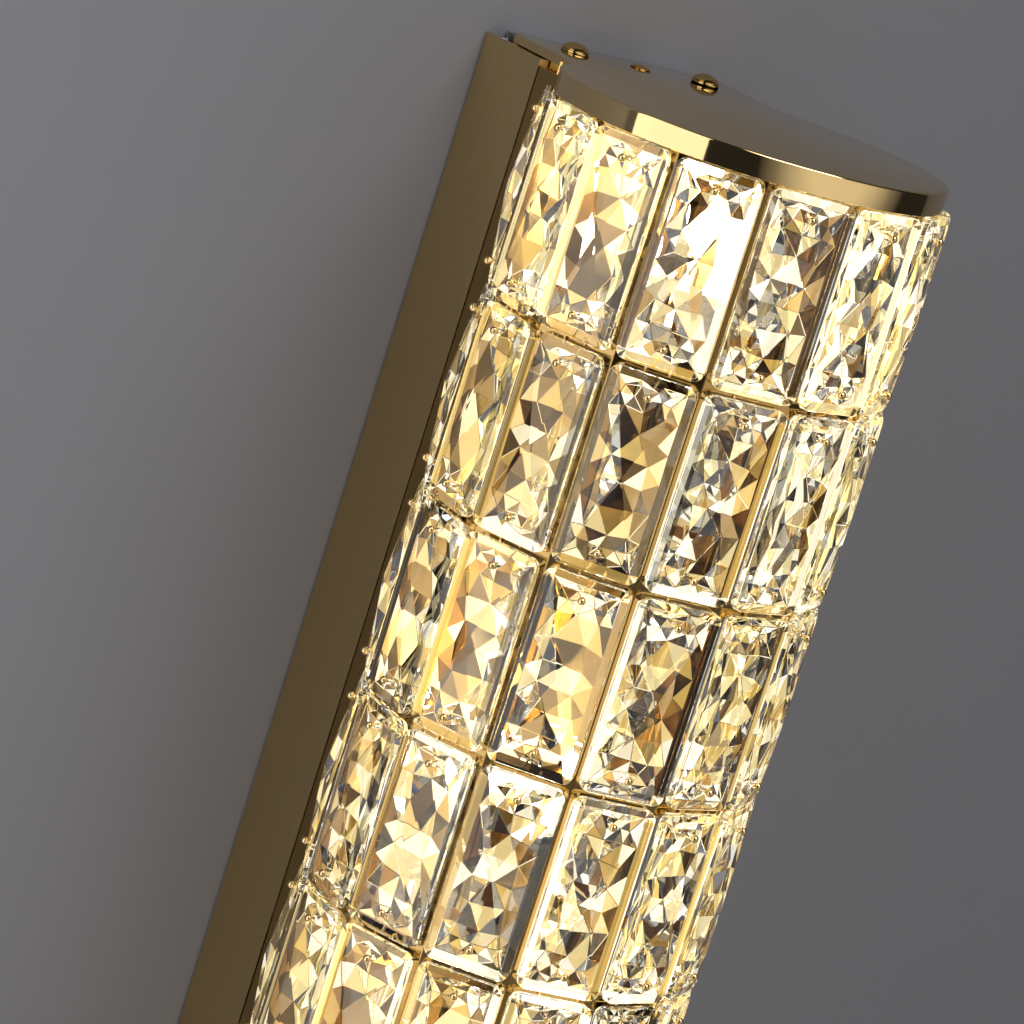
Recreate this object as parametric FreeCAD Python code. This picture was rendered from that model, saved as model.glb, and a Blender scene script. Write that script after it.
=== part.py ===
"""Wall sconce: a round drum of faceted crystals on a folded lattice, held between two cap plates.

Millimetres. The wall is the plane y = 0 and the front faces -Y. +Z is up, +X is to the right seen
from the front. The origin is the middle of the wall bracket's back face, at half the lamp's height.
"""
import FreeCAD
import Part
import math
import os

V = FreeCAD.Vector
Y_AXIS = V(0, 1, 0)
Z_AXIS = V(0, 0, 1)

# ---------------------------------------------------------------- sizes that are chosen
# crystal field
ROWS = 7
COLUMNS = 10
ROW_PITCH = 52.0
DRUM_ARC = 267.0            # degrees of the circle that the crystal columns go round
RIM_RADIUS = 50.2           # outside of the cap's turned-down rim
RIM_SHEET = 0.8
CAP_SHEET = 1.2
RIM_HEIGHT = 6.0            # cap plate included
RIM_END_ANGLE = 127.0       # the rim stops here, each side of the front
NECK_HALF_WIDTH = 32.8
NECK_FILLET = 10.0          # hollow curve between the round plate and its neck
NECK_BACK_GAP = 8.7         # from the neck's back edge to the wall
AXIS_TO_WALL = 75.0

# lattice
LATTICE_SHEET = 1.0
LATTICE_BAR = 3.0           # width of every upright and crossbar
WINDOW_CORNER = 2.6
LATTICE_FLANGE = 9.0        # foot that lies on the box's front
LATTICE_SCREW_INSET = 4.0   # from the foot's free edge
LATTICE_SCREW_LENGTH = 6.0
LATTICE_SCREW_ROWS = (-3, -1, 1, 3)  # in row pitches from the middle

# crystals
CRYSTAL_SIDE_GAP = 0.8      # facet width less crystal width
CRYSTAL_END_GAP = 1.5       # row pitch less crystal height
CRYSTAL_CORNER = 2.6
CRYSTAL_GIRDLE = 2.0        # thickness of the flat edge
CRYSTAL_BEVEL_WIDTH = 2.5
CRYSTAL_BEVEL_RISE = 0.6
CRYSTAL_PEAK_RISE = 2.2
CRYSTAL_STANDOFF = 2.5      # lattice face to the crystal's middle plane
INNER_CORNER = 0.5

# crystal pins
PIN_WIRE_RADIUS = 0.4
PIN_BALL_RADIUS = 1.05
PIN_HOLE_RADIUS = 0.75
PIN_TO_ROW_LINE = 6.1
PIN_SIDE_STEP = 3.0         # sideways lean of the wire behind the lattice
PIN_HOOK_DROP = 2.4         # how far the hook comes down over the crossbar

# box on the wall
BOX_DEPTH = 28.0
BOX_SHEET = 1.2
BOX_BELOW_CAP = 2.4         # the box's sides stop this far under the cap's top
TAB_WIDTH = 17.0
TAB_LENGTH = 17.0

# wall bracket
BRACKET_WIDTH = 60.0
BRACKET_SHEET = 1.5
EAR_WIDTH = 15.0
EAR_LENGTH = 25.0
SLOT_LENGTH = 12.0
SLOT_WIDTH = 5.0
SLOT_SPACING = 160.0
INLET_X = -17.0
INLET_Z = -25.0
INLET_HOLE_RADIUS = 6.5
INLET_BORE_RADIUS = 4.0
INLET_LIP = 2.0
EARTH_FROM_EDGE = 11.0
EARTH_Z = -50.0

# screws of the cap
CAP_SCREW_SPACING = 20.5    # from the middle screw to each big one
CAP_SCREW_TO_WALL = 18.7
CAP_SCREW_RADIUS = 2.0
CAP_SCREW_HEAD_RADIUS = 3.8
CAP_SCREW_LENGTH = 10.0
SMALL_SCREW_RADIUS = 1.5
SMALL_SCREW_HEAD_RADIUS = 2.75
SMALL_SCREW_LENGTH = 7.0
SMALL_HEAD_HEIGHT = 1.8
HOLE_CLEARANCE = 0.25       # all round a screw in a plain hole
THREAD_CLEARANCE = 0.05     # all round a screw in its nut

# lamps
LAMP_NAMES = ("upper", "middle", "lower")
LAMP_PITCH = 146.0
LAMP_TO_WALL = 60.0
SHELF_SHEET = 1.2
SHELF_WIDTH = 30.0
SHELF_LEG = 18.0
SHELF_NOSE = 13.0           # shelf in front of the lamp's axis
SHELF_BELOW_CENTRE = 32.0   # shelf's top below the middle of the lamp
SHELF_SCREW_LENGTH = 7.0
SHELF_SCREW_INSET = 4.0     # from the shelf's side
HOLDER_RADIUS = 10.0
HOLDER_HEIGHT = 15.0
HOLDER_SHOULDER = 7.0       # height of the holder's wide foot
HOLDER_STEP = 1.2           # how far the foot stands out
HOLDER_SCREW_LENGTH = 6.5
CONTACT_SPACING = 9.0
CONTACT_RADIUS = 0.8
CONTACT_LENGTH = 7.0
BULB_BASE_WIDTH = 13.0
BULB_BASE_DEPTH = 9.0
BULB_BASE_HEIGHT = 11.0
BULB_RADIUS = 8.0
BULB_WALL = 1.0
BULB_HEIGHT = 38.0
BULB_FOOT_HEIGHT = 1.5      # round foot under the glass, on the flat base
COLUMN_RADIUS = 4.2
COLUMN_TOP_GAP = 2.0        # from the light column to the inside of the glass

# wiring
WIRE_RADIUS = 0.9
WIRE_SIDE = 3.0
WIRE_LAYER = 3.2            # from one lamp's wires to the next lamp's, in Y
GROMMET_RADIUS = 6.0
GROMMET_HOLE_RADIUS = 4.75
GROMMET_LIP = 1.2
WIRE_ABOVE_SHELF = 10.0
BLOCK_WIDTH = 30.0
BLOCK_HEIGHT = 17.0
BLOCK_DEPTH = 12.0
BLOCK_Z = 32.0
BLOCK_WAYS = 3
BLOCK_ENTRY = 2.0           # depth of the wire slots in the block's ends
WELL_RADIUS = 1.6
WELL_DEPTH = 5.0
TAG_SHEET = 0.8
FIT = 0.3                   # general gap between pieces that only pass each other

# ---------------------------------------------------------------- sizes that follow
TURN = DRUM_ARC / COLUMNS
LATTICE_RADIUS = RIM_RADIUS - RIM_SHEET - 0.15
APOTHEM = LATTICE_RADIUS * math.cos(math.radians(TURN / 2))
FACET_WIDTH = 2 * LATTICE_RADIUS * math.sin(math.radians(TURN / 2))
FIELD_HALF = ROWS * ROW_PITCH / 2
CRYSTAL_WIDTH = FACET_WIDTH - CRYSTAL_SIDE_GAP
CRYSTAL_HEIGHT = ROW_PITCH - CRYSTAL_END_GAP
RIM_BOTTOM = FIELD_HALF - CRYSTAL_END_GAP / 2 + FIT
CAP_TOP = RIM_BOTTOM + RIM_HEIGHT
CAP_UNDER = CAP_TOP - CAP_SHEET
BOX_HALF_WIDTH = LATTICE_RADIUS * math.sin(math.radians(DRUM_ARC / 2))
BOX_TOP = CAP_TOP - BOX_BELOW_CAP
BOX_FRONT_Y = -BOX_DEPTH
DRUM_Y = -AXIS_TO_WALL
LAMP_Y = -LAMP_TO_WALL
NUT_SIZES = {"large": (CAP_SCREW_RADIUS, 7.0, 3.2), "small": (SMALL_SCREW_RADIUS, 5.5, 2.4)}
LAMPS = len(LAMP_NAMES)
LAMP_LEVELS = [LAMP_PITCH * ((LAMPS - 1) / 2 - i) for i in range(LAMPS)]
ROW_LEVELS = [ROW_PITCH * ((ROWS - 1) / 2 - i) for i in range(ROWS)]
SHELF_FIXING_X = SHELF_WIDTH / 2 - SHELF_SCREW_INSET
LATTICE_SCREW_X = BOX_HALF_WIDTH - LATTICE_FLANGE + LATTICE_SCREW_INSET
LATTICE_SCREW_LEVELS = [ROW_PITCH * step for step in LATTICE_SCREW_ROWS]
EARTH_X = BRACKET_WIDTH / 2 - EARTH_FROM_EDGE
SCREW_HOLE_RADIUS = SMALL_SCREW_RADIUS + HOLE_CLEARANCE


# ---------------------------------------------------------------- small helpers
def cylinder(radius, length, start, direction):
    return Part.makeCylinder(radius, length, start, direction)


def box(x0, x1, y0, y1, z0, z1):
    return Part.makeBox(x1 - x0, y1 - y0, z1 - z0, V(x0, y0, z0))


def fuse(shapes):
    joined = shapes[0].fuse(shapes[1:])
    return joined.removeSplitter()


def upside_down(shape):
    """The same piece at the other end of the lamp."""
    turned = shape.copy()
    turned.rotate(V(0, 0, 0), Y_AXIS, 180)
    return turned


def arc(start, middle, end):
    return Part.Arc(start, middle, end).toShape()


def line(start, end):
    return Part.LineSegment(start, end).toShape()


def rounded_rectangle(width, height, radius, y):
    """Closed wire in a plane across Y, centred on the Y axis."""
    half_w = width / 2
    half_h = height / 2
    diagonal = radius * (1 - math.sqrt(0.5))
    edges = []
    for sx, sz in ((1, 1), (-1, 1), (-1, -1), (1, -1)):
        side = V(sx * half_w, y, sz * (half_h - radius))
        mid = V(sx * (half_w - diagonal), y, sz * (half_h - diagonal))
        end = V(sx * (half_w - radius), y, sz * half_h)
        if sx * sz > 0:
            edges.append(arc(side, mid, end))
        else:
            edges.append(arc(end, mid, side))
    linked = []
    for i, corner in enumerate(edges):
        following = edges[(i + 1) % 4]
        linked.append(corner)
        linked.append(line(corner.Vertexes[-1].Point, following.Vertexes[0].Point))
    return Part.Wire(Part.__sortEdges__(linked))


def offset_path(points, distance):
    """Open path moved to its left by distance, with mitred corners."""
    moved = []
    for i, point in enumerate(points):
        before = point - points[i - 1] if i > 0 else points[1] - point
        after = points[i + 1] - point if i < len(points) - 1 else before
        before = before.normalize()
        after = V(after).normalize()
        left_a = V(-before.y, before.x, 0)
        left_b = V(-after.y, after.x, 0)
        both = left_a + left_b
        moved.append(point + both * (2 * distance / both.Length ** 2))
    return moved


def prism(points, z0, z1):
    wire = Part.makePolygon(points + [points[0]])
    face = Part.Face(wire)
    face.translate(V(0, 0, z0))
    return face.extrude(V(0, 0, z1 - z0))


def on_drum(shape, column, level):
    """Turn a piece made at the drum's front to its column, and lift it to its level."""
    placed = shape.copy()
    placed.rotate(V(0, 0, 0), Z_AXIS, (column - (COLUMNS - 1) / 2) * TURN)
    placed.translate(V(0, DRUM_Y, level))
    return placed


def drum_corner(i):
    angle = math.radians(i * TURN - DRUM_ARC / 2)
    return V(LATTICE_RADIUS * math.sin(angle), DRUM_Y - LATTICE_RADIUS * math.cos(angle), 0)


def wire_path(points, radius):
    """Round wire along straight stretches, with a ball at each bend."""
    pieces = []
    for a, b in zip(points, points[1:]):
        pieces.append(cylinder(radius, (b - a).Length, a, b - a))
    for bend in points[1:-1]:
        pieces.append(Part.makeSphere(radius, bend))
    return fuse(pieces)


def hex_nut(kind, start, direction):
    screw_radius, flats, height = NUT_SIZES[kind]
    corners = []
    for i in range(6):
        angle = math.radians(60 * i)
        corners.append(V(flats / math.sqrt(3) * math.cos(angle), flats / math.sqrt(3) * math.sin(angle), 0))
    nut = prism(corners, 0, height)
    nut = nut.cut(cylinder(screw_radius + THREAD_CLEARANCE, height, V(0, 0, 0), Z_AXIS))
    nut.Placement = FreeCAD.Placement(start, FreeCAD.Rotation(Z_AXIS, direction))
    return nut


def pan_screw(radius, head_radius, head_height, length, seat, direction):
    """Screw whose head sits on seat and whose shank runs along direction."""
    shank = cylinder(radius, length, V(0, 0, 0), Z_AXIS)
    head = cylinder(head_radius, head_height, V(0, 0, -head_height), Z_AXIS)
    slot = box(-head_radius, head_radius, -0.4, 0.4, -head_height, -head_height / 2)
    screw = shank.fuse(head.cut(slot)).removeSplitter()
    screw.Placement = FreeCAD.Placement(seat, FreeCAD.Rotation(Z_AXIS, direction))
    return screw


# ---------------------------------------------------------------- caps
def plate_outline():
    """Round plate with a neck: one arc, two hollow fillets and three straight edges."""
    reach = RIM_RADIUS + NECK_FILLET
    fillet_x = NECK_HALF_WIDTH + NECK_FILLET
    fillet_y = math.sqrt(reach ** 2 - fillet_x ** 2)
    touch = V(-fillet_x, fillet_y, 0) * (RIM_RADIUS / reach)
    back_y = AXIS_TO_WALL - NECK_BACK_GAP
    meet = V(-NECK_HALF_WIDTH, fillet_y, 0)
    centre = V(-fillet_x, fillet_y, 0)
    towards = (touch - centre).normalize() + V(1, 0, 0)
    hollow = centre + towards.normalize() * NECK_FILLET
    right = [V(-p.x, p.y, 0) for p in (touch, hollow, meet)]
    edges = [
        arc(touch, V(0, -RIM_RADIUS, 0), right[0]),
        arc(right[0], right[1], right[2]),
        line(right[2], V(NECK_HALF_WIDTH, back_y, 0)),
        line(V(NECK_HALF_WIDTH, back_y, 0), V(-NECK_HALF_WIDTH, back_y, 0)),
        line(V(-NECK_HALF_WIDTH, back_y, 0), meet),
        arc(meet, hollow, touch),
    ]
    return Part.Wire(edges), fillet_y, back_y


def cap():
    outline, neck_start, back_y = plate_outline()
    plate = Part.Face(outline).extrude(V(0, 0, CAP_SHEET))
    plate.translate(V(0, DRUM_Y, CAP_UNDER))
    rim_depth = RIM_HEIGHT - CAP_SHEET
    sweep = 2 * RIM_END_ANGLE
    outer = Part.makeCylinder(RIM_RADIUS, rim_depth, V(0, 0, 0), Z_AXIS, sweep)
    inner = cylinder(RIM_RADIUS - RIM_SHEET, rim_depth, V(0, 0, 0), Z_AXIS)
    rim = outer.cut(inner)
    rim.rotate(V(0, 0, 0), Z_AXIS, -90 - RIM_END_ANGLE)
    rim.translate(V(0, DRUM_Y, RIM_BOTTOM))
    pieces = [plate, rim]
    for side in (-1, 1):
        x0, x1 = neck_lip(side)
        pieces.append(box(x0, x1, DRUM_Y + neck_start, DRUM_Y + back_y, RIM_BOTTOM, CAP_UNDER))
    body = fuse(pieces)
    for x, radius in cap_screw_places():
        start = V(x, -CAP_SCREW_TO_WALL, CAP_UNDER - CAP_SHEET)
        body = body.cut(cylinder(radius + HOLE_CLEARANCE, CAP_SHEET * 3, start, Z_AXIS))
    return body


def neck_lip(side, gap=0.0):
    """Span in X of the lip folded down along the neck's side, with a gap all round it."""
    span = (side * NECK_HALF_WIDTH, side * (NECK_HALF_WIDTH - RIM_SHEET))
    return min(span) - gap, max(span) + gap


def cap_screw_places():
    return [
        (-CAP_SCREW_SPACING, CAP_SCREW_RADIUS),
        (0.0, SMALL_SCREW_RADIUS),
        (CAP_SCREW_SPACING, CAP_SCREW_RADIUS),
    ]


def dome_screw(x):
    """Large screw: a low dome on a flange, with a groove between them."""
    seat = V(x, -CAP_SCREW_TO_WALL, CAP_TOP)
    flange = cylinder(CAP_SCREW_HEAD_RADIUS, 0.6, V(0, 0, 0), Z_AXIS)
    groove = cylinder(CAP_SCREW_HEAD_RADIUS - 0.5, 0.3, V(0, 0, 0.6), Z_AXIS)
    dome_radius = CAP_SCREW_HEAD_RADIUS - 0.1
    rise = 1.7
    ball_radius = (dome_radius ** 2 + rise ** 2) / (2 * rise)
    ball = Part.makeSphere(ball_radius, V(0, 0, 0.9 + rise - ball_radius))
    dome = ball.common(cylinder(dome_radius, rise + 1, V(0, 0, 0.9), Z_AXIS))
    shank = cylinder(CAP_SCREW_RADIUS, CAP_SCREW_LENGTH, V(0, 0, -CAP_SCREW_LENGTH), Z_AXIS)
    screw = fuse([flange, groove, dome, shank])
    screw.translate(seat)
    return screw


def centre_screw():
    """Small screw with a nearly flat head."""
    seat = V(0, -CAP_SCREW_TO_WALL, CAP_TOP)
    rise = 0.7
    ball_radius = (SMALL_SCREW_HEAD_RADIUS ** 2 + rise ** 2) / (2 * rise)
    ball = Part.makeSphere(ball_radius, V(0, 0, 0.2 + rise - ball_radius))
    dome = ball.common(cylinder(SMALL_SCREW_HEAD_RADIUS, rise + 1, V(0, 0, 0.2), Z_AXIS))
    edge = cylinder(SMALL_SCREW_HEAD_RADIUS, 0.2, V(0, 0, 0), Z_AXIS)
    shank = cylinder(SMALL_SCREW_RADIUS, SMALL_SCREW_LENGTH, V(0, 0, -SMALL_SCREW_LENGTH), Z_AXIS)
    screw = fuse([edge, dome, shank])
    screw.translate(seat)
    return screw


# ---------------------------------------------------------------- lattice
def lattice_path():
    """Outside line of the folded sheet, from its left foot round the front to its right foot."""
    foot_x = BOX_HALF_WIDTH - LATTICE_FLANGE
    left = [V(-foot_x, BOX_FRONT_Y, 0), V(-BOX_HALF_WIDTH, BOX_FRONT_Y, 0)]
    corners = [drum_corner(i) for i in range(COLUMNS + 1)]
    right = [V(-p.x, p.y, 0) for p in reversed(left)]
    return left + corners + right


def lattice_pieces():
    """The folded sheet in the pieces it is welded from, by name: two sides and panels of two columns."""
    path = lattice_path()
    inside = offset_path(path, LATTICE_SHEET)
    first = 2
    last = first + COLUMNS
    spans = {"lattice_side_left": (0, first), "lattice_side_right": (last, len(path) - 1)}
    for i, start in enumerate(range(first, last, 2)):
        spans["lattice_panel_%02d" % (i + 1)] = (start, min(start + 2, last))
    tools = Part.makeCompound(lattice_openings())
    pieces = {}
    for name, (a, b) in spans.items():
        corners = path[a:b + 1] + list(reversed(inside[a:b + 1]))
        pieces[name] = prism(corners, -CAP_UNDER, CAP_UNDER).cut(tools)
    return pieces


def lattice_openings():
    """Windows, end notches, screw holes and slots for the caps' lips."""
    window_w = FACET_WIDTH - LATTICE_BAR
    window_h = ROW_PITCH - LATTICE_BAR
    deep = LATTICE_SHEET * 4
    window = Part.Face(rounded_rectangle(window_w, window_h, WINDOW_CORNER, -APOTHEM - deep / 2))
    window = window.extrude(V(0, deep, 0))
    top_bar = FIELD_HALF + LATTICE_BAR / 2
    notch = box(-window_w / 2, window_w / 2, -APOTHEM - deep / 2, -APOTHEM + deep / 2, top_bar, CAP_UNDER)
    leg_start = drum_corner(0).y + LATTICE_BAR / 2
    tools = []
    for column in range(COLUMNS):
        for level in ROW_LEVELS:
            tools.append(on_drum(window, column, level))
        tools.append(on_drum(notch, column, 0))
        tools.append(on_drum(upside_down(notch), column, 0))
    for x in (-BOX_HALF_WIDTH, BOX_HALF_WIDTH):
        reach = LATTICE_FLANGE + 1
        for z0, z1 in ((top_bar, CAP_UNDER), (-CAP_UNDER, -top_bar)):
            tools.append(box(x - reach, x + reach, leg_start, BOX_FRONT_Y + 1, z0, z1))
    for x in (-LATTICE_SCREW_X, LATTICE_SCREW_X):
        for level in LATTICE_SCREW_LEVELS:
            start = V(x, BOX_FRONT_Y - LATTICE_SHEET * 2, level)
            tools.append(cylinder(SCREW_HOLE_RADIUS, LATTICE_SHEET * 3, start, Y_AXIS))
    for side in (-1, 1):
        x0, x1 = neck_lip(side, FIT)
        for z0, z1 in ((RIM_BOTTOM - FIT, CAP_UNDER + 1), (-CAP_UNDER - 1, -RIM_BOTTOM + FIT)):
            tools.append(box(x0, x1, BOX_FRONT_Y - LATTICE_SHEET * 2, BOX_FRONT_Y + 1, z0, z1))
    return tools


# ---------------------------------------------------------------- crystals and pins
def crystal():
    """Flat girdle, a bevel all round and a four-sided peak, the same on both faces."""
    centre = -APOTHEM - CRYSTAL_STANDOFF
    girdle = CRYSTAL_GIRDLE / 2
    shoulder = girdle + CRYSTAL_BEVEL_RISE
    peak = shoulder + CRYSTAL_PEAK_RISE
    inner_w = CRYSTAL_WIDTH - 2 * CRYSTAL_BEVEL_WIDTH
    inner_h = CRYSTAL_HEIGHT - 2 * CRYSTAL_BEVEL_WIDTH
    outline = rounded_rectangle(CRYSTAL_WIDTH, CRYSTAL_HEIGHT, CRYSTAL_CORNER, centre - girdle)
    pieces = [Part.Face(outline).extrude(V(0, CRYSTAL_GIRDLE, 0))]
    for side in (-1, 1):
        edge = rounded_rectangle(CRYSTAL_WIDTH, CRYSTAL_HEIGHT, CRYSTAL_CORNER, centre + side * girdle)
        inner = rounded_rectangle(inner_w, inner_h, INNER_CORNER, centre + side * shoulder)
        pieces.append(Part.makeLoft([edge, inner], True, True))
        tip = Part.Vertex(V(0, centre + side * peak, 0))
        pieces.append(Part.makeLoft([inner, tip], True, True))
    body = fuse(pieces)
    for level in (-pin_level(), pin_level()):
        body = body.cut(cylinder(PIN_HOLE_RADIUS, peak * 4, V(0, centre - peak * 2, level), Y_AXIS))
    return body


def pin_level():
    return ROW_PITCH / 2 - PIN_TO_ROW_LINE


def crystal_half_thickness(level):
    """Half thickness on the crystal's centre line, at a height from its middle."""
    inner_half = CRYSTAL_HEIGHT / 2 - CRYSTAL_BEVEL_WIDTH
    return CRYSTAL_GIRDLE / 2 + CRYSTAL_BEVEL_RISE + CRYSTAL_PEAK_RISE * (1 - level / inner_half)


def pin(end):
    """Ball-headed wire through the crystal, hooked over the crossbar beyond its end (+1 top, -1 foot)."""
    level = end * pin_level()
    seat = APOTHEM + CRYSTAL_STANDOFF + crystal_half_thickness(pin_level())
    ball = Part.makeSphere(PIN_BALL_RADIUS, V(0, -seat - PIN_BALL_RADIUS * 0.8, level))
    behind = -(APOTHEM - LATTICE_SHEET - PIN_WIRE_RADIUS - 0.1)
    front = -(APOTHEM + PIN_WIRE_RADIUS + 0.1)
    side = end * PIN_SIDE_STEP
    over = level + end * (PIN_TO_ROW_LINE + LATTICE_BAR / 2 + PIN_WIRE_RADIUS + 0.2)
    points = [
        V(0, -seat, level),
        V(0, behind, level),
        V(side, behind, over),
        V(side, front, over),
        V(side, front, over - end * PIN_HOOK_DROP),
    ]
    return fuse([wire_path(points, PIN_WIRE_RADIUS), cut_flat(ball, seat)])


def cut_flat(ball, seat):
    """Ball head with a flat where it rests on the crystal."""
    size = PIN_BALL_RADIUS * 4
    keep = Part.makeBox(size, size, 400, V(-size / 2, -seat - size - 0.05, -200))
    return ball.common(keep)


def crystal_columns():
    gem = crystal()
    columns = []
    for column in range(COLUMNS):
        columns.append(Part.makeCompound([on_drum(gem, column, level) for level in ROW_LEVELS]))
    return columns


def crystal_pins():
    top = pin(1)
    foot = pin(-1)
    pins = []
    for column in range(COLUMNS):
        for level in ROW_LEVELS:
            pins.append(on_drum(top, column, level))
            pins.append(on_drum(foot, column, level))
    return Part.makeCompound(pins)


# ---------------------------------------------------------------- box and bracket
def shelf_top(level):
    return level - SHELF_BELOW_CENTRE


def wire_level(level):
    return shelf_top(level) + WIRE_ABOVE_SHELF


def back_box():
    w = BOX_HALF_WIDTH
    front = box(-w, w, BOX_FRONT_Y, BOX_FRONT_Y + BOX_SHEET, -BOX_TOP, BOX_TOP)
    pieces = [front]
    for side in (-1, 1):
        x0 = min(side * w, side * (w - BOX_SHEET))
        pieces.append(box(x0, x0 + BOX_SHEET, BOX_FRONT_Y, 0, -BOX_TOP, BOX_TOP))
    tab_half = TAB_WIDTH / 2
    for sign in (1, -1):
        z_out = sign * CAP_UNDER
        z_in = sign * (CAP_UNDER - BOX_SHEET)
        lo = min(z_out, z_in)
        pieces.append(box(-tab_half, tab_half, BOX_FRONT_Y, BOX_FRONT_Y + TAB_LENGTH, lo, lo + BOX_SHEET))
        rise = sorted((sign * BOX_TOP, z_out))
        pieces.append(box(-tab_half, tab_half, BOX_FRONT_Y, BOX_FRONT_Y + BOX_SHEET, rise[0], rise[1]))
    body = fuse(pieces)
    tools = []
    for sign in (1, -1):
        start = V(0, -CAP_SCREW_TO_WALL, sign * (CAP_UNDER - 3 * BOX_SHEET))
        tools.append(cylinder(SCREW_HOLE_RADIUS, BOX_SHEET * 6, start, V(0, 0, sign)))
        z0, z1 = sorted((sign * (RIM_BOTTOM - FIT), sign * (BOX_TOP + 1)))
        for side in (-1, 1):
            x0, x1 = neck_lip(side, FIT)
            tools.append(box(x0, x1, BOX_FRONT_Y - 1, BOX_FRONT_Y + BOX_SHEET + 1, z0, z1))
    for level in LAMP_LEVELS:
        z = wire_level(level)
        tools.append(through_front(GROMMET_HOLE_RADIUS, 0, z))
        for x in (-SHELF_FIXING_X, SHELF_FIXING_X):
            tools.append(through_front(SCREW_HOLE_RADIUS, x, z))
    for x in (-LATTICE_SCREW_X, LATTICE_SCREW_X):
        for level in LATTICE_SCREW_LEVELS:
            tools.append(through_front(SCREW_HOLE_RADIUS, x, level))
    return body.cut(Part.makeCompound(tools))


def through_front(radius, x, z):
    return cylinder(radius, BOX_SHEET * 3, V(x, BOX_FRONT_Y - BOX_SHEET, z), Y_AXIS)


def wall_bracket():
    half = BRACKET_WIDTH / 2
    plate = box(-half, half, -BRACKET_SHEET, 0, -CAP_UNDER, CAP_UNDER)
    pieces = [plate]
    for sign in (1, -1):
        lo = min(sign * CAP_UNDER, sign * (CAP_UNDER - BRACKET_SHEET))
        for side in (-1, 1):
            x = side * CAP_SCREW_SPACING
            pieces.append(box(x - EAR_WIDTH / 2, x + EAR_WIDTH / 2, -EAR_LENGTH, 0, lo, lo + BRACKET_SHEET))
    body = fuse(pieces)
    tools = []
    for sign in (1, -1):
        for side in (-1, 1):
            start = V(side * CAP_SCREW_SPACING, -CAP_SCREW_TO_WALL, sign * (CAP_UNDER - 3 * BRACKET_SHEET))
            tools.append(cylinder(CAP_SCREW_RADIUS + HOLE_CLEARANCE, BRACKET_SHEET * 6, start, V(0, 0, sign)))
        tools.append(slot_tool(sign * SLOT_SPACING / 2))
    tools.append(through_bracket(INLET_HOLE_RADIUS, INLET_X, INLET_Z))
    tools.append(through_bracket(CAP_SCREW_RADIUS + THREAD_CLEARANCE, EARTH_X, EARTH_Z))
    tools.append(through_bracket(SMALL_SCREW_RADIUS + THREAD_CLEARANCE, block_fixing_x(), BLOCK_Z))
    return body.cut(Part.makeCompound(tools))


def through_bracket(radius, x, z):
    return cylinder(radius, BRACKET_SHEET * 3, V(x, -BRACKET_SHEET * 2, z), Y_AXIS)


def slot_tool(z):
    """Upright slot through the bracket's back plate."""
    half = SLOT_WIDTH / 2
    reach = SLOT_LENGTH / 2 - half
    deep = BRACKET_SHEET * 3
    y = -BRACKET_SHEET * 2
    ends = [cylinder(half, deep, V(0, y, z + sign * reach), Y_AXIS) for sign in (-1, 1)]
    return fuse(ends + [box(-half, half, y, y + deep, z - reach, z + reach)])


def cap_nuts():
    nuts = []
    under_ear = CAP_UNDER - BRACKET_SHEET
    under_tab = CAP_UNDER - BOX_SHEET
    for sign in (1, -1):
        for side in (-1, 1):
            start = V(side * CAP_SCREW_SPACING, -CAP_SCREW_TO_WALL, sign * under_ear)
            nuts.append(hex_nut("large", start, V(0, 0, -sign)))
        nuts.append(hex_nut("small", V(0, -CAP_SCREW_TO_WALL, sign * under_tab), V(0, 0, -sign)))
    return Part.makeCompound(nuts)


# ---------------------------------------------------------------- lamps
def lamp_shelf(level):
    top = shelf_top(level)
    low = top - SHELF_SHEET
    half = SHELF_WIDTH / 2
    leg = box(-half, half, BOX_FRONT_Y - SHELF_SHEET, BOX_FRONT_Y, low, low + SHELF_LEG)
    shelf = box(-half, half, LAMP_Y - SHELF_NOSE, BOX_FRONT_Y, low, top)
    body = fuse([leg, shelf])
    z = wire_level(level)
    start_y = BOX_FRONT_Y - SHELF_SHEET * 2
    tools = [cylinder(GROMMET_HOLE_RADIUS, SHELF_SHEET * 3, V(0, start_y, z), Y_AXIS)]
    for x in (-SHELF_FIXING_X, SHELF_FIXING_X):
        tools.append(cylinder(SCREW_HOLE_RADIUS, SHELF_SHEET * 3, V(x, start_y, z), Y_AXIS))
    tools.append(cylinder(SCREW_HOLE_RADIUS, SHELF_SHEET * 3, V(0, LAMP_Y, low - SHELF_SHEET), Z_AXIS))
    return body.cut(Part.makeCompound(tools))


def lamp_holder(level):
    """Ceramic two-pin holder with a shoulder, a screw hole under it and a hole for each wire."""
    base = V(0, LAMP_Y, shelf_top(level))
    lower = cylinder(HOLDER_RADIUS, HOLDER_SHOULDER, base, Z_AXIS)
    upper = cylinder(HOLDER_RADIUS - HOLDER_STEP, HOLDER_HEIGHT, base, Z_AXIS)
    body = fuse([lower, upper])
    top = base + V(0, 0, HOLDER_HEIGHT)
    tools = [cylinder(SMALL_SCREW_RADIUS + THREAD_CLEARANCE, HOLDER_SCREW_LENGTH, base, Z_AXIS)]
    for side in (-1, 1):
        contact = top + V(side * CONTACT_SPACING / 2, 0, -CONTACT_LENGTH - FIT)
        tools.append(cylinder(CONTACT_RADIUS + HOLE_CLEARANCE, CONTACT_LENGTH + FIT + 1, contact, Z_AXIS))
        entry = V(side * WIRE_SIDE, LAMP_Y + HOLDER_RADIUS - 4.0, wire_level(level))
        tools.append(cylinder(WIRE_RADIUS + 0.1, 6.0, entry, Y_AXIS))
    return body.cut(Part.makeCompound(tools))


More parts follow.
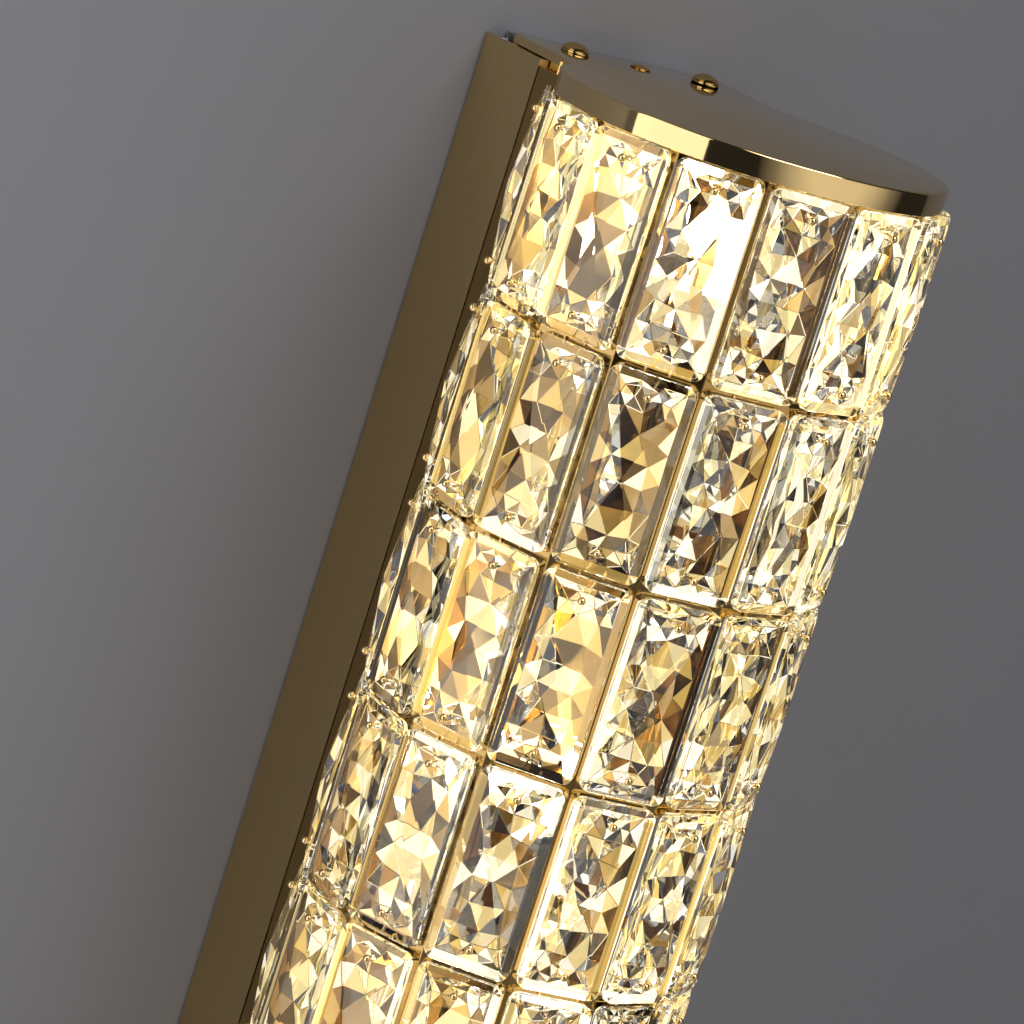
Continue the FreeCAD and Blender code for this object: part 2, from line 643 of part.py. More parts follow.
def bulb_base(level):
    """Flat ceramic base with its two pins and a round foot for the glass."""
    z = shelf_top(level) + HOLDER_HEIGHT
    half_w = BULB_BASE_WIDTH / 2
    half_d = BULB_BASE_DEPTH / 2
    block = box(-half_w, half_w, LAMP_Y - half_d, LAMP_Y + half_d, z, z + BULB_BASE_HEIGHT)
    foot = cylinder(BULB_RADIUS, BULB_FOOT_HEIGHT, V(0, LAMP_Y, z + BULB_BASE_HEIGHT), Z_AXIS)
    inner = BULB_RADIUS - BULB_WALL - 0.1
    spigot = cylinder(inner, 2 * BULB_FOOT_HEIGHT, V(0, LAMP_Y, z + BULB_BASE_HEIGHT), Z_AXIS)
    pieces = [block, foot, spigot]
    for side in (-1, 1):
        start = V(side * CONTACT_SPACING / 2, LAMP_Y, z - CONTACT_LENGTH)
        pieces.append(cylinder(CONTACT_RADIUS, CONTACT_LENGTH, start, Z_AXIS))
    return fuse(pieces)


def bulb_glass(level):
    """Clear capsule with a domed top, open at its foot."""
    z = shelf_top(level) + HOLDER_HEIGHT + BULB_BASE_HEIGHT + BULB_FOOT_HEIGHT
    straight = BULB_HEIGHT - BULB_RADIUS - BULB_BASE_HEIGHT
    outer = cylinder(BULB_RADIUS, straight, V(0, LAMP_Y, z), Z_AXIS)
    outer = outer.fuse(Part.makeSphere(BULB_RADIUS, V(0, LAMP_Y, z + straight)))
    inner_r = BULB_RADIUS - BULB_WALL
    inner = cylinder(inner_r, straight + 1, V(0, LAMP_Y, z - 1), Z_AXIS)
    inner = inner.fuse(Part.makeSphere(inner_r, V(0, LAMP_Y, z + straight)))
    shell = outer.cut(inner)
    below = box(-20, 20, LAMP_Y - 20, LAMP_Y + 20, z - 20, z)
    return shell.cut(below).removeSplitter()


def light_column(level):
    """Round light source that stands on the base, inside the glass."""
    z = shelf_top(level) + HOLDER_HEIGHT + BULB_BASE_HEIGHT + 2 * BULB_FOOT_HEIGHT
    height = BULB_HEIGHT - BULB_BASE_HEIGHT - BULB_FOOT_HEIGHT - BULB_WALL - COLUMN_TOP_GAP
    return cylinder(COLUMN_RADIUS, height, V(0, LAMP_Y, z), Z_AXIS)


def small_screw(length, seat, direction):
    return pan_screw(SMALL_SCREW_RADIUS, SMALL_SCREW_HEAD_RADIUS, SMALL_HEAD_HEIGHT, length, seat, direction)


def shelf_screws():
    screws = []
    for level in LAMP_LEVELS:
        for x in (-SHELF_FIXING_X, SHELF_FIXING_X):
            seat = V(x, BOX_FRONT_Y - SHELF_SHEET, wire_level(level))
            screws.append(small_screw(SHELF_SCREW_LENGTH, seat, Y_AXIS))
    return Part.makeCompound(screws)


def holder_screws():
    screws = []
    for level in LAMP_LEVELS:
        seat = V(0, LAMP_Y, shelf_top(level) - SHELF_SHEET)
        screws.append(small_screw(HOLDER_SCREW_LENGTH, seat, Z_AXIS))
    return Part.makeCompound(screws)


def lattice_screws():
    screws = []
    for x in (-LATTICE_SCREW_X, LATTICE_SCREW_X):
        for level in LATTICE_SCREW_LEVELS:
            seat = V(x, BOX_FRONT_Y - LATTICE_SHEET, level)
            screws.append(small_screw(LATTICE_SCREW_LENGTH, seat, Y_AXIS))
    return Part.makeCompound(screws)


def box_nuts():
    """Nuts on the inside of the box's front, for the lattice's screws and the shelves' screws."""
    nuts = []
    inside_y = BOX_FRONT_Y + BOX_SHEET
    for x in (-LATTICE_SCREW_X, LATTICE_SCREW_X):
        for level in LATTICE_SCREW_LEVELS:
            nuts.append(hex_nut("small", V(x, inside_y, level), Y_AXIS))
    for level in LAMP_LEVELS:
        for x in (-SHELF_FIXING_X, SHELF_FIXING_X):
            nuts.append(hex_nut("small", V(x, inside_y, wire_level(level)), Y_AXIS))
    return Part.makeCompound(nuts)


# ---------------------------------------------------------------- wiring
def ring(outer, inner, start, length):
    return cylinder(outer, length, start, Y_AXIS).cut(cylinder(inner, length, start, Y_AXIS))


def wire_grommets():
    """Rubber rings that line the holes from the shelves into the box."""
    rings = []
    sheets = SHELF_SHEET + BOX_SHEET
    bore = WIRE_SIDE + WIRE_RADIUS + 0.15
    for level in LAMP_LEVELS:
        z = wire_level(level)
        front = BOX_FRONT_Y - SHELF_SHEET - GROMMET_LIP
        pieces = [
            ring(GROMMET_RADIUS, bore, V(0, front, z), GROMMET_LIP),
            ring(GROMMET_HOLE_RADIUS, bore, V(0, front, z), sheets + 2 * GROMMET_LIP),
            ring(GROMMET_RADIUS, bore, V(0, BOX_FRONT_Y + BOX_SHEET, z), GROMMET_LIP),
        ]
        rings.append(fuse(pieces))
    return Part.makeCompound(rings)


def inlet_grommet():
    """Rubber ring for the supply cable, flush with the wall side and with one lip inside the box."""
    length = BRACKET_SHEET + INLET_LIP
    start = V(INLET_X, -length, INLET_Z)
    body = ring(INLET_HOLE_RADIUS, INLET_BORE_RADIUS, start, length)
    lip = ring(INLET_HOLE_RADIUS + 1.8, INLET_BORE_RADIUS, start, INLET_LIP)
    return fuse([body, lip])


def terminal_block():
    """Three-way block: each way has a screw well and a wire slot at both ends."""
    half_w = BLOCK_WIDTH / 2
    half_h = BLOCK_HEIGHT / 2
    back = -BRACKET_SHEET
    front = back - BLOCK_DEPTH
    body = box(-half_w, half_w, front, back, BLOCK_Z - half_h, BLOCK_Z + half_h)
    tools = [cylinder(SCREW_HOLE_RADIUS, BLOCK_DEPTH, V(block_fixing_x(), front, BLOCK_Z), Y_AXIS)]
    slot = WIRE_RADIUS + FIT
    for x in block_ways():
        for sign in (-1, 1):
            tools.append(cylinder(WELL_RADIUS, WELL_DEPTH, V(x, front, BLOCK_Z + sign * half_h / 2), Y_AXIS))
            z0, z1 = sorted((BLOCK_Z + sign * half_h, BLOCK_Z + sign * (half_h - BLOCK_ENTRY)))
            tools.append(box(x - slot, x + slot, front + 1.0, back - 1.0, z0, z1))
    return body.cut(Part.makeCompound(tools))


def block_ways():
    """Middles of the ways in X: live, neutral, earth."""
    step = BLOCK_WIDTH / BLOCK_WAYS
    return [step * (i - (BLOCK_WAYS - 1) / 2) for i in range(BLOCK_WAYS)]


def block_fixing_x():
    """The block's fixing screw sits between the neutral way and the earth way."""
    return BLOCK_WIDTH / BLOCK_WAYS / 2


def terminal_screws():
    """Clamp screws in the block's wells, and the block's own fixing screw."""
    screws = []
    front = -BRACKET_SHEET - BLOCK_DEPTH
    for x in block_ways():
        for sign in (-1, 1):
            start = V(x, front + 1.0, BLOCK_Z + sign * BLOCK_HEIGHT / 4)
            screws.append(cylinder(WELL_RADIUS - 0.1, WELL_DEPTH - 1.0, start, Y_AXIS))
    seat = V(block_fixing_x(), front, BLOCK_Z)
    screws.append(small_screw(BLOCK_DEPTH + BRACKET_SHEET, seat, Y_AXIS))
    return Part.makeCompound(screws)


def earth_screw():
    seat = V(EARTH_X, -BRACKET_SHEET - TAG_SHEET, EARTH_Z)
    return pan_screw(CAP_SCREW_RADIUS, 3.6, 2.4, BRACKET_SHEET + TAG_SHEET, seat, Y_AXIS)


def earth_tag():
    """Ring tag under the earth screw, with a tongue that carries the wire's end."""
    y = -BRACKET_SHEET - TAG_SHEET
    washer = ring(4.0, CAP_SCREW_RADIUS + HOLE_CLEARANCE, V(EARTH_X, y, EARTH_Z), TAG_SHEET)
    tongue = box(EARTH_X - 1.8, EARTH_X + 1.8, y, -BRACKET_SHEET, EARTH_Z + 3.4, EARTH_Z + 9.0)
    return fuse([washer, tongue])


def lamp_wires(side, way_x):
    """One insulated wire for each lamp, from its holder through the box to its way of the block."""
    x = side * WIRE_SIDE
    wires = []
    for i, level in enumerate(LAMP_LEVELS):
        z = wire_level(level)
        y_run = -BRACKET_SHEET - 3.0 - WIRE_LAYER * (LAMPS - 1 - i)
        end = 1 if z > BLOCK_Z else -1
        z_end = BLOCK_Z + end * (BLOCK_HEIGHT / 2 - BLOCK_ENTRY)
        points = [
            V(x, LAMP_Y + HOLDER_RADIUS - 3.8, z),
            V(x, y_run, z),
            V(x, y_run, z_end + end * 20.0),
            V(way_x, y_run, z_end + end * 10.0),
            V(way_x, y_run, z_end),
        ]
        wires.append(wire_path(points, WIRE_RADIUS))
    return Part.makeCompound(wires)


def earth_wire():
    """Earth wire from the tag's tongue up to the block's earth way."""
    y = -BRACKET_SHEET - TAG_SHEET - WIRE_RADIUS
    x_block = block_ways()[-1]
    y_block = y - WIRE_LAYER
    z_end = BLOCK_Z - BLOCK_HEIGHT / 2 + BLOCK_ENTRY
    points = [
        V(EARTH_X, y, EARTH_Z + 4.2),
        V(EARTH_X, y, z_end - 35.0),
        V(x_block, y_block, z_end - 20.0),
        V(x_block, y_block, z_end),
    ]
    return wire_path(points, WIRE_RADIUS)


# ---------------------------------------------------------------- write the pieces
def write(name, shape):
    shape.exportStep("parts/%s.step" % name)


def main():
    os.makedirs("parts", exist_ok=True)
    top = cap()
    write("top_cap", top)
    write("bottom_cap", upside_down(top))
    domes = [dome_screw(-CAP_SCREW_SPACING), dome_screw(CAP_SCREW_SPACING)]
    write("cap_dome_screws", Part.makeCompound(domes + [upside_down(s) for s in domes]))
    middle = centre_screw()
    write("cap_centre_screws", Part.makeCompound([middle, upside_down(middle)]))
    write("cap_nuts", cap_nuts())
    for name, piece in lattice_pieces().items():
        write(name, piece)
    write("lattice_screws", lattice_screws())
    for i, column in enumerate(crystal_columns()):
        write("crystal_column_%02d" % (i + 1), column)
    write("crystal_pins", crystal_pins())
    write("back_box", back_box())
    write("box_nuts", box_nuts())
    write("wall_bracket", wall_bracket())
    for name, level in zip(LAMP_NAMES, LAMP_LEVELS):
        write("lamp_shelf_" + name, lamp_shelf(level))
        write("lamp_holder_" + name, lamp_holder(level))
        write("bulb_base_" + name, bulb_base(level))
        write("bulb_glass_" + name, bulb_glass(level))
        write("light_column_" + name, light_column(level))
    write("shelf_screws", shelf_screws())
    write("holder_screws", holder_screws())
    write("wire_grommets", wire_grommets())
    write("inlet_grommet", inlet_grommet())
    write("terminal_block", terminal_block())
    write("terminal_screws", terminal_screws())
    write("earth_screw", earth_screw())
    write("earth_tag", earth_tag())
    write("earth_wire", earth_wire())
    live_way, neutral_way, _ = block_ways()
    write("live_wires", lamp_wires(-1, live_way))
    write("neutral_wires", lamp_wires(1, neutral_way))


main()
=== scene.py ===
"""Crystal wall sconce: faceted crystals on a gilt lattice, between two cap plates."""
import math
import random

import bmesh
import bpy
from bpy.props import FloatProperty, IntProperty, PointerProperty, StringProperty
from mathutils import Matrix, Vector
from mathutils.geometry import delaunay_2d_cdt


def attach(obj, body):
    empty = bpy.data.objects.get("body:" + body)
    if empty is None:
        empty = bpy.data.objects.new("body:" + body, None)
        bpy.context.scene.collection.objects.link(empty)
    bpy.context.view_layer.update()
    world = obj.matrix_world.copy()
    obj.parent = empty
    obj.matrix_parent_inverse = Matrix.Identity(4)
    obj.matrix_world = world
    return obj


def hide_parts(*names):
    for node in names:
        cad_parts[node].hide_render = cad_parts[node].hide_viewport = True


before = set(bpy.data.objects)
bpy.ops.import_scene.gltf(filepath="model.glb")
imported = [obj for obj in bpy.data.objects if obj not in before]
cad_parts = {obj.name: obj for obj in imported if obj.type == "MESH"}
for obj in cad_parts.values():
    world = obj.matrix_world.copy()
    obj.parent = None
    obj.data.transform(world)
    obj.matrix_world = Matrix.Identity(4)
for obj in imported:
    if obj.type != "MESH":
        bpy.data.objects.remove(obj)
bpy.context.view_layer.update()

bl_info = {
    "name": "Crystal wall sconce",
    "version": (1, 0, 0),
    "blender": (4, 5, 0),
    "location": "3D View > Sidebar > Sconce",
    "description": "Builds a wall sconce of faceted crystals on a folded lattice",
    "category": "Object",
}

BODY = "root"
LAMP_NAMES = ("upper", "middle", "lower")
# points across the crystal's back, row by row: place along the half height, and how many
BACK_ROWS = (
    (0.93, 4), (0.82, 5), (0.66, 3), (0.38, 2), (0.1, 3),
    (-0.16, 2), (-0.42, 3), (-0.68, 3), (-0.82, 5), (-0.93, 4),
)


# ------------------------------------------------------------------ sizes and colours
def length(name, description, default):
    return FloatProperty(name=name, description=description, default=default, unit="LENGTH")


class SconceSizes(bpy.types.PropertyGroup):
    rows: IntProperty(name="Rows", description="Crystals in each column", default=7, min=1)
    columns: IntProperty(name="Columns", description="Columns of crystals round the drum", default=10, min=3)
    row_pitch: length("Row pitch", "From one row to the next", 0.052)
    drum_arc: FloatProperty(
        name="Drum arc", description="How far the columns go round", default=math.radians(267),
        subtype="ANGLE"
    )
    wall_to_axis: length("Wall to axis", "Drum axis in front of the wall", 0.075)
    rim_radius: length("Rim radius", "Outside of the cap's rim", 0.0502)
    rim_sheet: length("Rim sheet", "Thickness of the rim", 0.0008)
    cap_sheet: length("Cap sheet", "Thickness of the cap's plate", 0.0012)
    rim_height: length("Rim height", "Cap's depth", 0.006)
    rim_end: FloatProperty(
        name="Rim end", description="Where the rim stops, from the front", default=math.radians(127),
        subtype="ANGLE"
    )
    neck_half_width: length("Neck half width", "Half of the cap's neck", 0.0328)
    neck_fillet: length("Neck fillet", "Hollow curve from plate to neck", 0.010)
    neck_back_gap: length("Neck to wall", "From the neck's back edge to the wall", 0.0087)
    lattice_sheet: length("Lattice sheet", "Thickness of the lattice", 0.001)
    lattice_bar: length("Lattice bar", "Width of uprights and crossbars", 0.003)
    window_corner: length("Window corner", "Corner radius of the windows", 0.0026)
    foot: length("Foot", "Lattice foot on the box's front", 0.009)
    box_depth: length("Box depth", "Wall box, front to back", 0.028)
    crystal_side_gap: length("Side gap", "Facet width less crystal width", 0.0008)
    crystal_end_gap: length("End gap", "Row pitch less crystal height", 0.0015)
    crystal_corner: length("Crystal corner", "Corner radius in front view", 0.0026)
    girdle: length("Girdle", "Crystal's flat edge", 0.002)
    bevel_width: length("Bevel width", "Crystal's bevel seen from the front", 0.0025)
    bevel_rise: length("Bevel rise", "Height of the crystal's bevel", 0.0006)
    peak_rise: length("Peak rise", "Height of the four-sided peak", 0.0022)
    back_cut_rise: length("Back cut rise", "Height of each cut on the crystal's back", 0.0014)
    # painted glow and painted dark shade: facets smaller than this get none
    smallest_painted_facet: FloatProperty(
        name="Smallest lit facet", description="Facets under this area stay clear", default=6e-7, unit="AREA"
    )
    standoff: length("Stand-off", "Lattice to the crystal's middle", 0.0025)
    pin_to_line: length("Pin to row line", "Pin to the crossbar's middle", 0.0061)
    pin_wire: length("Pin wire", "Radius of the wire", 0.0004)
    pin_ball: length("Pin ball", "Radius of the ball head", 0.00105)
    pin_hole: length("Pin hole", "Radius of the crystal's bore", 0.00075)
    screw_spacing: length("Screw spacing", "Middle screw to large screw", 0.0205)
    screw_to_wall: length("Screws to wall", "Screw line to the wall", 0.0187)


class SconceColours(bpy.types.PropertyGroup):
    gilt: StringProperty(name="Gilt", description="Gold plating, sRGB hex", default="#E8CB92")
    lattice: StringProperty(name="Lattice", description="Lattice's darker gold, sRGB hex", default="#B5955C")
    brass: StringProperty(name="Brass", description="Screws and pins, sRGB hex", default="#D9B672")
    backdrop: StringProperty(name="Backdrop", description="Wall, sRGB hex", default="#77777C")
    floor: StringProperty(name="Floor", description="Floor, sRGB hex", default="#C8C8CA")
    lamp: StringProperty(name="Lamp", description="Colour of the light, sRGB hex", default="#FFF4DF")
    lamp_glow: FloatProperty(name="Lamp glow", description="Strength of the chips", default=60.0, min=0.0)
    # strength of the painted glow on the crystals' facets, which stands in for lamp light
    painted_crystal_glow: FloatProperty(
        name="Crystal glow", description="Lamp light that the lit facets show", default=1.0, min=0.0
    )
    bulb_power: FloatProperty(
        name="Bulb power", description="Light of each half of a bulb, in watts", default=0.4, min=0.0
    )


def sizes():
    return bpy.context.scene.sconce_sizes


def colours():
    return bpy.context.scene.sconce_colours


def linear(hex_colour):
    """sRGB hex text to a linear colour with full alpha."""
    parts = []
    for i in (1, 3, 5):
        v = int(hex_colour[i:i + 2], 16) / 255
        parts.append(v / 12.92 if v <= 0.04045 else ((v + 0.055) / 1.055) ** 2.4)
    return (*parts, 1.0)


# ------------------------------------------------------------------ material helpers
def new_material(name):
    material = bpy.data.materials.new(name)
    material.use_nodes = True
    shader = material.node_tree.nodes["Principled BSDF"]
    return material, shader


def add_node(tree, kind, settings=None, inputs=None, feeds=None):
    """Add a node with its settings and links. The setting "stops" is a ramp's places and colours. An input
    is a value or the socket it comes from, and feeds holds the sockets that its outputs go to."""
    node = tree.nodes.new(kind)
    for key, value in (settings or {}).items():
        if key == "stops":
            elements = node.color_ramp.elements
            while len(elements) < len(value):
                elements.new(0.5)
            for element, (place, colour) in zip(elements, value):
                element.position = place
                element.color = colour
        else:
            setattr(node, key, value)
    for key, value in (inputs or {}).items():
        if isinstance(value, bpy.types.NodeSocket):
            tree.links.new(value, node.inputs[key])
        else:
            node.inputs[key].default_value = value
    for key, socket in (feeds or {}).items():
        tree.links.new(node.outputs[key], socket)
    return node


def two_tones(tree, shader, factor, hex_colour, dullest, full_from=0.7):
    """Base colour from a duller share of a colour up to the colour itself."""
    full = linear(hex_colour)
    dull = tuple(c * dullest for c in full[:3]) + (1,)
    stops = [(0.3, dull), (full_from, full)]
    base = {"Color": shader.inputs["Base Color"]}
    add_node(tree, "ShaderNodeValToRGB", {"stops": stops}, {"Fac": factor}, base)


def set_inputs(shader, values):
    for key, value in values.items():
        shader.inputs[key].default_value = value


def per_metre(millimetres):
    """Scale of a pattern whose parts have this size."""
    return 1000 / millimetres


def wobble(tree, patch, detail, stretch=(1, 1, 1)):
    """Noise fixed to the object; patch is the real size of its patches in millimetres."""
    place = add_node(tree, "ShaderNodeTexCoord").outputs["Object"]
    mapped = add_node(tree, "ShaderNodeMapping", None, {"Vector": place, "Scale": stretch})
    inputs = {"Vector": mapped.outputs["Vector"], "Scale": per_metre(patch), "Detail": detail}
    return add_node(tree, "ShaderNodeTexNoise", None, inputs).outputs["Fac"]


def rolled_waves(tree, shader):
    """The faintest waves of rolled sheet, 20 mm long."""
    waves = {"Height": wobble(tree, 20, 1), "Strength": 0.015, "Distance": 0.0004}
    add_node(tree, "ShaderNodeBump", None, waves, {"Normal": shader.inputs["Normal"]})


# ------------------------------------------------------------------ materials
def gold_plated_stainless(name, hex_colour):
    """Mirror-polished stainless sheet with a gold vapour coating: a clean mirror, warm and pale, with
    slow changes of tone (25 mm) and the faintest waviness of rolled sheet (20 mm)."""
    material, shader = new_material("gold_plated_stainless_" + name)
    tree = material.node_tree
    two_tones(tree, shader, wobble(tree, 25, 2), hex_colour, 0.94)
    set_inputs(shader, {"Metallic": 1.0, "Roughness": 0.05})
    rolled_waves(tree, shader)
    return material


def gold_plated_satin(name, limit):
    """The same sheet, satin-brushed where its face's Y is under the limit, towards the lamps: it spreads
    their light in a warm glow. The other faces keep the polish; the brushing is 0.4 mm fine and upright."""
    material, shader = new_material("gold_plated_stainless_satin_" + name)
    tree = material.node_tree
    two_tones(tree, shader, wobble(tree, 0.4, 2, (1, 1, 0.05)), colours().gilt, 0.9)
    facing = add_node(tree, "ShaderNodeNewGeometry").outputs["Normal"]
    part = add_node(tree, "ShaderNodeSeparateXYZ", None, {"Vector": facing})
    front = add_node(tree, "ShaderNodeMath", {"operation": "LESS_THAN"}, {0: part.outputs["Y"], 1: limit})
    reach = {"Value": front.outputs["Value"], "To Min": 0.05, "To Max": 0.4}
    add_node(tree, "ShaderNodeMapRange", None, reach, {"Result": shader.inputs["Roughness"]})
    set_inputs(shader, {"Metallic": 1.0})
    rolled_waves(tree, shader)
    return material


def polished_brass():
    """Turned brass, polished and lacquered: deeper and yellower than the plating, with a 0.4 mm grain."""
    material, shader = new_material("turned_brass_polished")
    tree = material.node_tree
    two_tones(tree, shader, wobble(tree, 1.11, 3), colours().brass, 0.72, 0.65)
    set_inputs(shader, {"Metallic": 1.0, "Roughness": 0.1})
    grain = {"Height": wobble(tree, 0.4, 2), "Strength": 0.05, "Distance": 0.0001}
    add_node(tree, "ShaderNodeBump", None, grain, {"Normal": shader.inputs["Normal"]})
    return material


def grained(name, grain, stops, values, relief):
    """Material whose colour and relief follow one grain: the grain is (millimetres, detail, stretch), the
    stops are places and sRGB hex colours, and the relief is (strength, depth in metres)."""
    material, shader = new_material(name)
    tree = material.node_tree
    height = wobble(tree, *grain)
    tones = [(place, linear(colour)) for place, colour in stops]
    base = {"Color": shader.inputs["Base Color"]}
    add_node(tree, "ShaderNodeValToRGB", {"stops": tones}, {"Fac": height}, base)
    set_inputs(shader, values)
    bumps = {"Height": height, "Strength": relief[0], "Distance": relief[1]}
    add_node(tree, "ShaderNodeBump", None, bumps, {"Normal": shader.inputs["Normal"]})
    return material


def zinc_plated_steel():
    """Pressed steel with bright zinc: grey with a faint blue cast and a soft grain of 0.6 mm."""
    values = {"Metallic": 1.0, "Roughness": 0.3}
    stops = [(0.3, "#A3A7AC"), (0.7, "#C9CCD0")]
    return grained("zinc_plated_steel", (0.625, 4), stops, values, (0.1, 0.0001))


def cut_crystal():
    """K9 optical glass, cut and fire-polished: clear, hard reflections, a hint of grey in the body and
    the faintest ripple left by the wheel (2 mm). Some facets carry a painted glow from gold to white that
    stands in for the lamps' light, and others a painted dark grey shade; the crystal is no lamp."""
    material, shader = new_material("cut_crystal_k9_painted_glow")
    tree = material.node_tree
    hint = [(0.3, linear("#F4F6F7")), (0.7, linear("#FFFFFF"))]
    body = add_node(tree, "ShaderNodeValToRGB", {"stops": hint}, {"Fac": wobble(tree, 8.33, 2)})
    share = add_node(tree, "ShaderNodeAttribute", {"attribute_name": "lamp_share"}).outputs["Fac"]
    # painted dark shade: facets with a small share get a dark grey base in place of clear glass
    clear, painted_dark_grey = linear("#FFFFFF"), linear("#6A6C70")
    painted_dark_stops = [(0, clear), (0.002, painted_dark_grey), (0.22, painted_dark_grey), (0.26, clear)]
    painted_dark_facets = add_node(tree, "ShaderNodeValToRGB", {"stops": painted_dark_stops}, {"Fac": share})
    # the Mix node's colours are inputs 6 and 7 and output 2
    both = {"Factor": 1.0, 6: body.outputs["Color"], 7: painted_dark_facets.outputs["Color"]}
    base = {2: shader.inputs["Base Color"]}
    add_node(tree, "ShaderNodeMix", {"data_type": "RGBA", "blend_type": "MULTIPLY"}, both, base)
    # painted glow: facets with a larger share emit gold to white, in place of lamp light seen through the
    # glass
    lit = [
        (0.5, linear("#000000")), (0.58, linear("#5A4312")), (0.72, linear("#C6A655")),
        (0.87, linear("#F3E2A6")), (0.98, linear("#FFF9E6")),
    ]
    glow = {"Color": shader.inputs["Emission Color"]}
    add_node(tree, "ShaderNodeValToRGB", {"stops": lit}, {"Fac": share}, glow)
    set_inputs(shader, {"Transmission Weight": 1.0, "Roughness": 0.0, "IOR": 1.5168})
    set_inputs(shader, {"Emission Strength": colours().painted_crystal_glow})
    ripple = {"Height": wobble(tree, 2, 1), "Strength": 0.02, "Distance": 0.0001}
    add_node(tree, "ShaderNodeBump", None, ripple, {"Normal": shader.inputs["Normal"]})
    return material


def bulb_glass():
    """Blown borosilicate capsule: thin, clear and slightly uneven (3 mm waves)."""
    values = {"Transmission Weight": 1.0, "Roughness": 0.02, "IOR": 1.47}
    stops = [(0.3, "#F7F7F2"), (0.7, "#FFFFFF")]
    return grained("blown_borosilicate_glass", (3.03, 1, (1, 1, 0.3)), stops, values, (0.05, 0.0002))


def lit_phosphor():
    """Phosphor over small chips, lit: dots 2.5 mm apart burn white, and the coat between is warmer."""
    material, shader = new_material("lit_phosphor_coat")
    tree = material.node_tree
    place = add_node(tree, "ShaderNodeTexCoord").outputs["Object"]
    spacing = {"Vector": place, "Scale": per_metre(2.5), "Randomness": 0.15}
    dots = add_node(tree, "ShaderNodeTexVoronoi", None, spacing).outputs["Distance"]
    lit = linear(colours().lamp)
    coat = tuple(a * b * 0.25 for a, b in zip(lit[:3], (1, 0.88, 0.62))) + (1,)
    stops = [(0.25, lit), (0.45, coat)]
    base = {"Color": shader.inputs["Base Color"]}
    glow = add_node(tree, "ShaderNodeValToRGB", {"stops": stops}, {"Fac": dots}, base)
    tree.links.new(glow.outputs["Color"], shader.inputs["Emission Color"])
    set_inputs(shader, {"Roughness": 0.6, "Emission Strength": colours().lamp_glow})
    return material


def glazed_steatite():
    """Pressed steatite with a thin glaze: warm white with tiny specks (1 mm)."""
    stops = [(0.3, "#D8D4CA"), (0.55, "#EFECE4")]
    return grained("glazed_steatite", (1, 5), stops, {"Roughness": 0.22, "IOR": 1.54}, (0.1, 0.0001))


def moulded_rubber():
    """Moulded EPDM rubber: dull black with a fine bloom (0.8 mm)."""
    stops = [(0.3, "#1B1B1C"), (0.7, "#2B2B2C")]
    return grained("moulded_epdm_rubber", (0.8, 4), stops, {"Roughness": 0.7, "IOR": 1.5}, (0.3, 0.0001))


def moulded_nylon():
    """Moulded nylon: milky white with soft flow marks (5 mm)."""
    values = {"Roughness": 0.4, "IOR": 1.53, "Subsurface Weight": 0.05}
    stops = [(0.3, "#DCDBD4"), (0.7, "#EEEDE8")]
    return grained("moulded_nylon", (5, 3, (1, 1, 4)), stops, values, (0.1, 0.0001))


def extruded_pvc(name, dark, light):
    """Extruded PVC wire cover: even colour with faint drawing lines (0.5 mm)."""
    values = {"Roughness": 0.45, "IOR": 1.53}
    stops = [(0.3, dark), (0.7, light)]
    return grained("extruded_pvc_" + name, (0.5, 2, (1, 1, 0.1)), stops, values, (0.1, 0.00005))


def painted_board(name, hex_colour):
    """Matt painted board; its back is see-through, so it doesn't hide the lamp from behind."""
    material, shader = new_material("painted_board_" + name)
    tree = material.node_tree
    two_tones(tree, shader, wobble(tree, 167, 3), hex_colour, 0.97)
    set_inputs(shader, {"Roughness": 0.85, "Specular IOR Level": 0.2})
    behind = add_node(tree, "ShaderNodeNewGeometry").outputs["Backfacing"]
    clear = add_node(tree, "ShaderNodeBsdfTransparent").outputs["BSDF"]
    sides = {"Fac": behind, 1: shader.outputs["BSDF"], 2: clear}
    surface = tree.nodes["Material Output"].inputs["Surface"]
    add_node(tree, "ShaderNodeMixShader", None, sides, {"Shader": surface})
    return material


FINISHES = {}


def finish(name, maker, *words):
    """The material of that name, made on first use."""
    if name not in FINISHES:
        FINISHES[name] = maker(*words)
    return FINISHES[name]


# ------------------------------------------------------------------ object and mesh helpers
def in_scene(name, data):
    """A new object in the scene."""
    thing = bpy.data.objects.new(name, data)
    bpy.context.scene.collection.objects.link(thing)
    return thing


def add_piece(name, mesh, material, node, smooth):
    """Link a mesh as a piece that stands for a node of the frame; smooth is its shading angle in degrees."""
    mesh.shade_smooth()
    mesh.set_sharp_from_angle(angle=math.radians(smooth))
    piece = in_scene(name, mesh)
    mesh.materials.clear()
    mesh.materials.append(material)
    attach(piece, BODY)
    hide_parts(node)
    return piece


def dress(nodes, material):
    """Give frame nodes a material in place of their plain one."""
    for name in nodes:
        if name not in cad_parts:
            raise RuntimeError("the frame has no node " + name)
        node = bpy.data.objects[name]
        if not node.material_slots:
            node.data.materials.append(material)
        for held in node.material_slots:
            held.material = material


def to_mesh(bm, name):
    """The bmesh as a mesh; the bmesh is freed."""
    mesh = bpy.data.meshes.new(name)
    bm.to_mesh(mesh)
    bm.free()
    return mesh


def mesh_from(bm, name):
    """The same, with all faces turned outwards first."""
    bmesh.ops.recalc_face_normals(bm, faces=bm.faces)
    return to_mesh(bm, name)


def add_copy(bm, mesh, matrix):
    """Add a transformed copy of a mesh to bm."""
    before = len(bm.verts)
    bm.from_mesh(mesh)
    bm.verts.ensure_lookup_table()
    bmesh.ops.transform(bm, matrix=matrix, verts=bm.verts[before:])


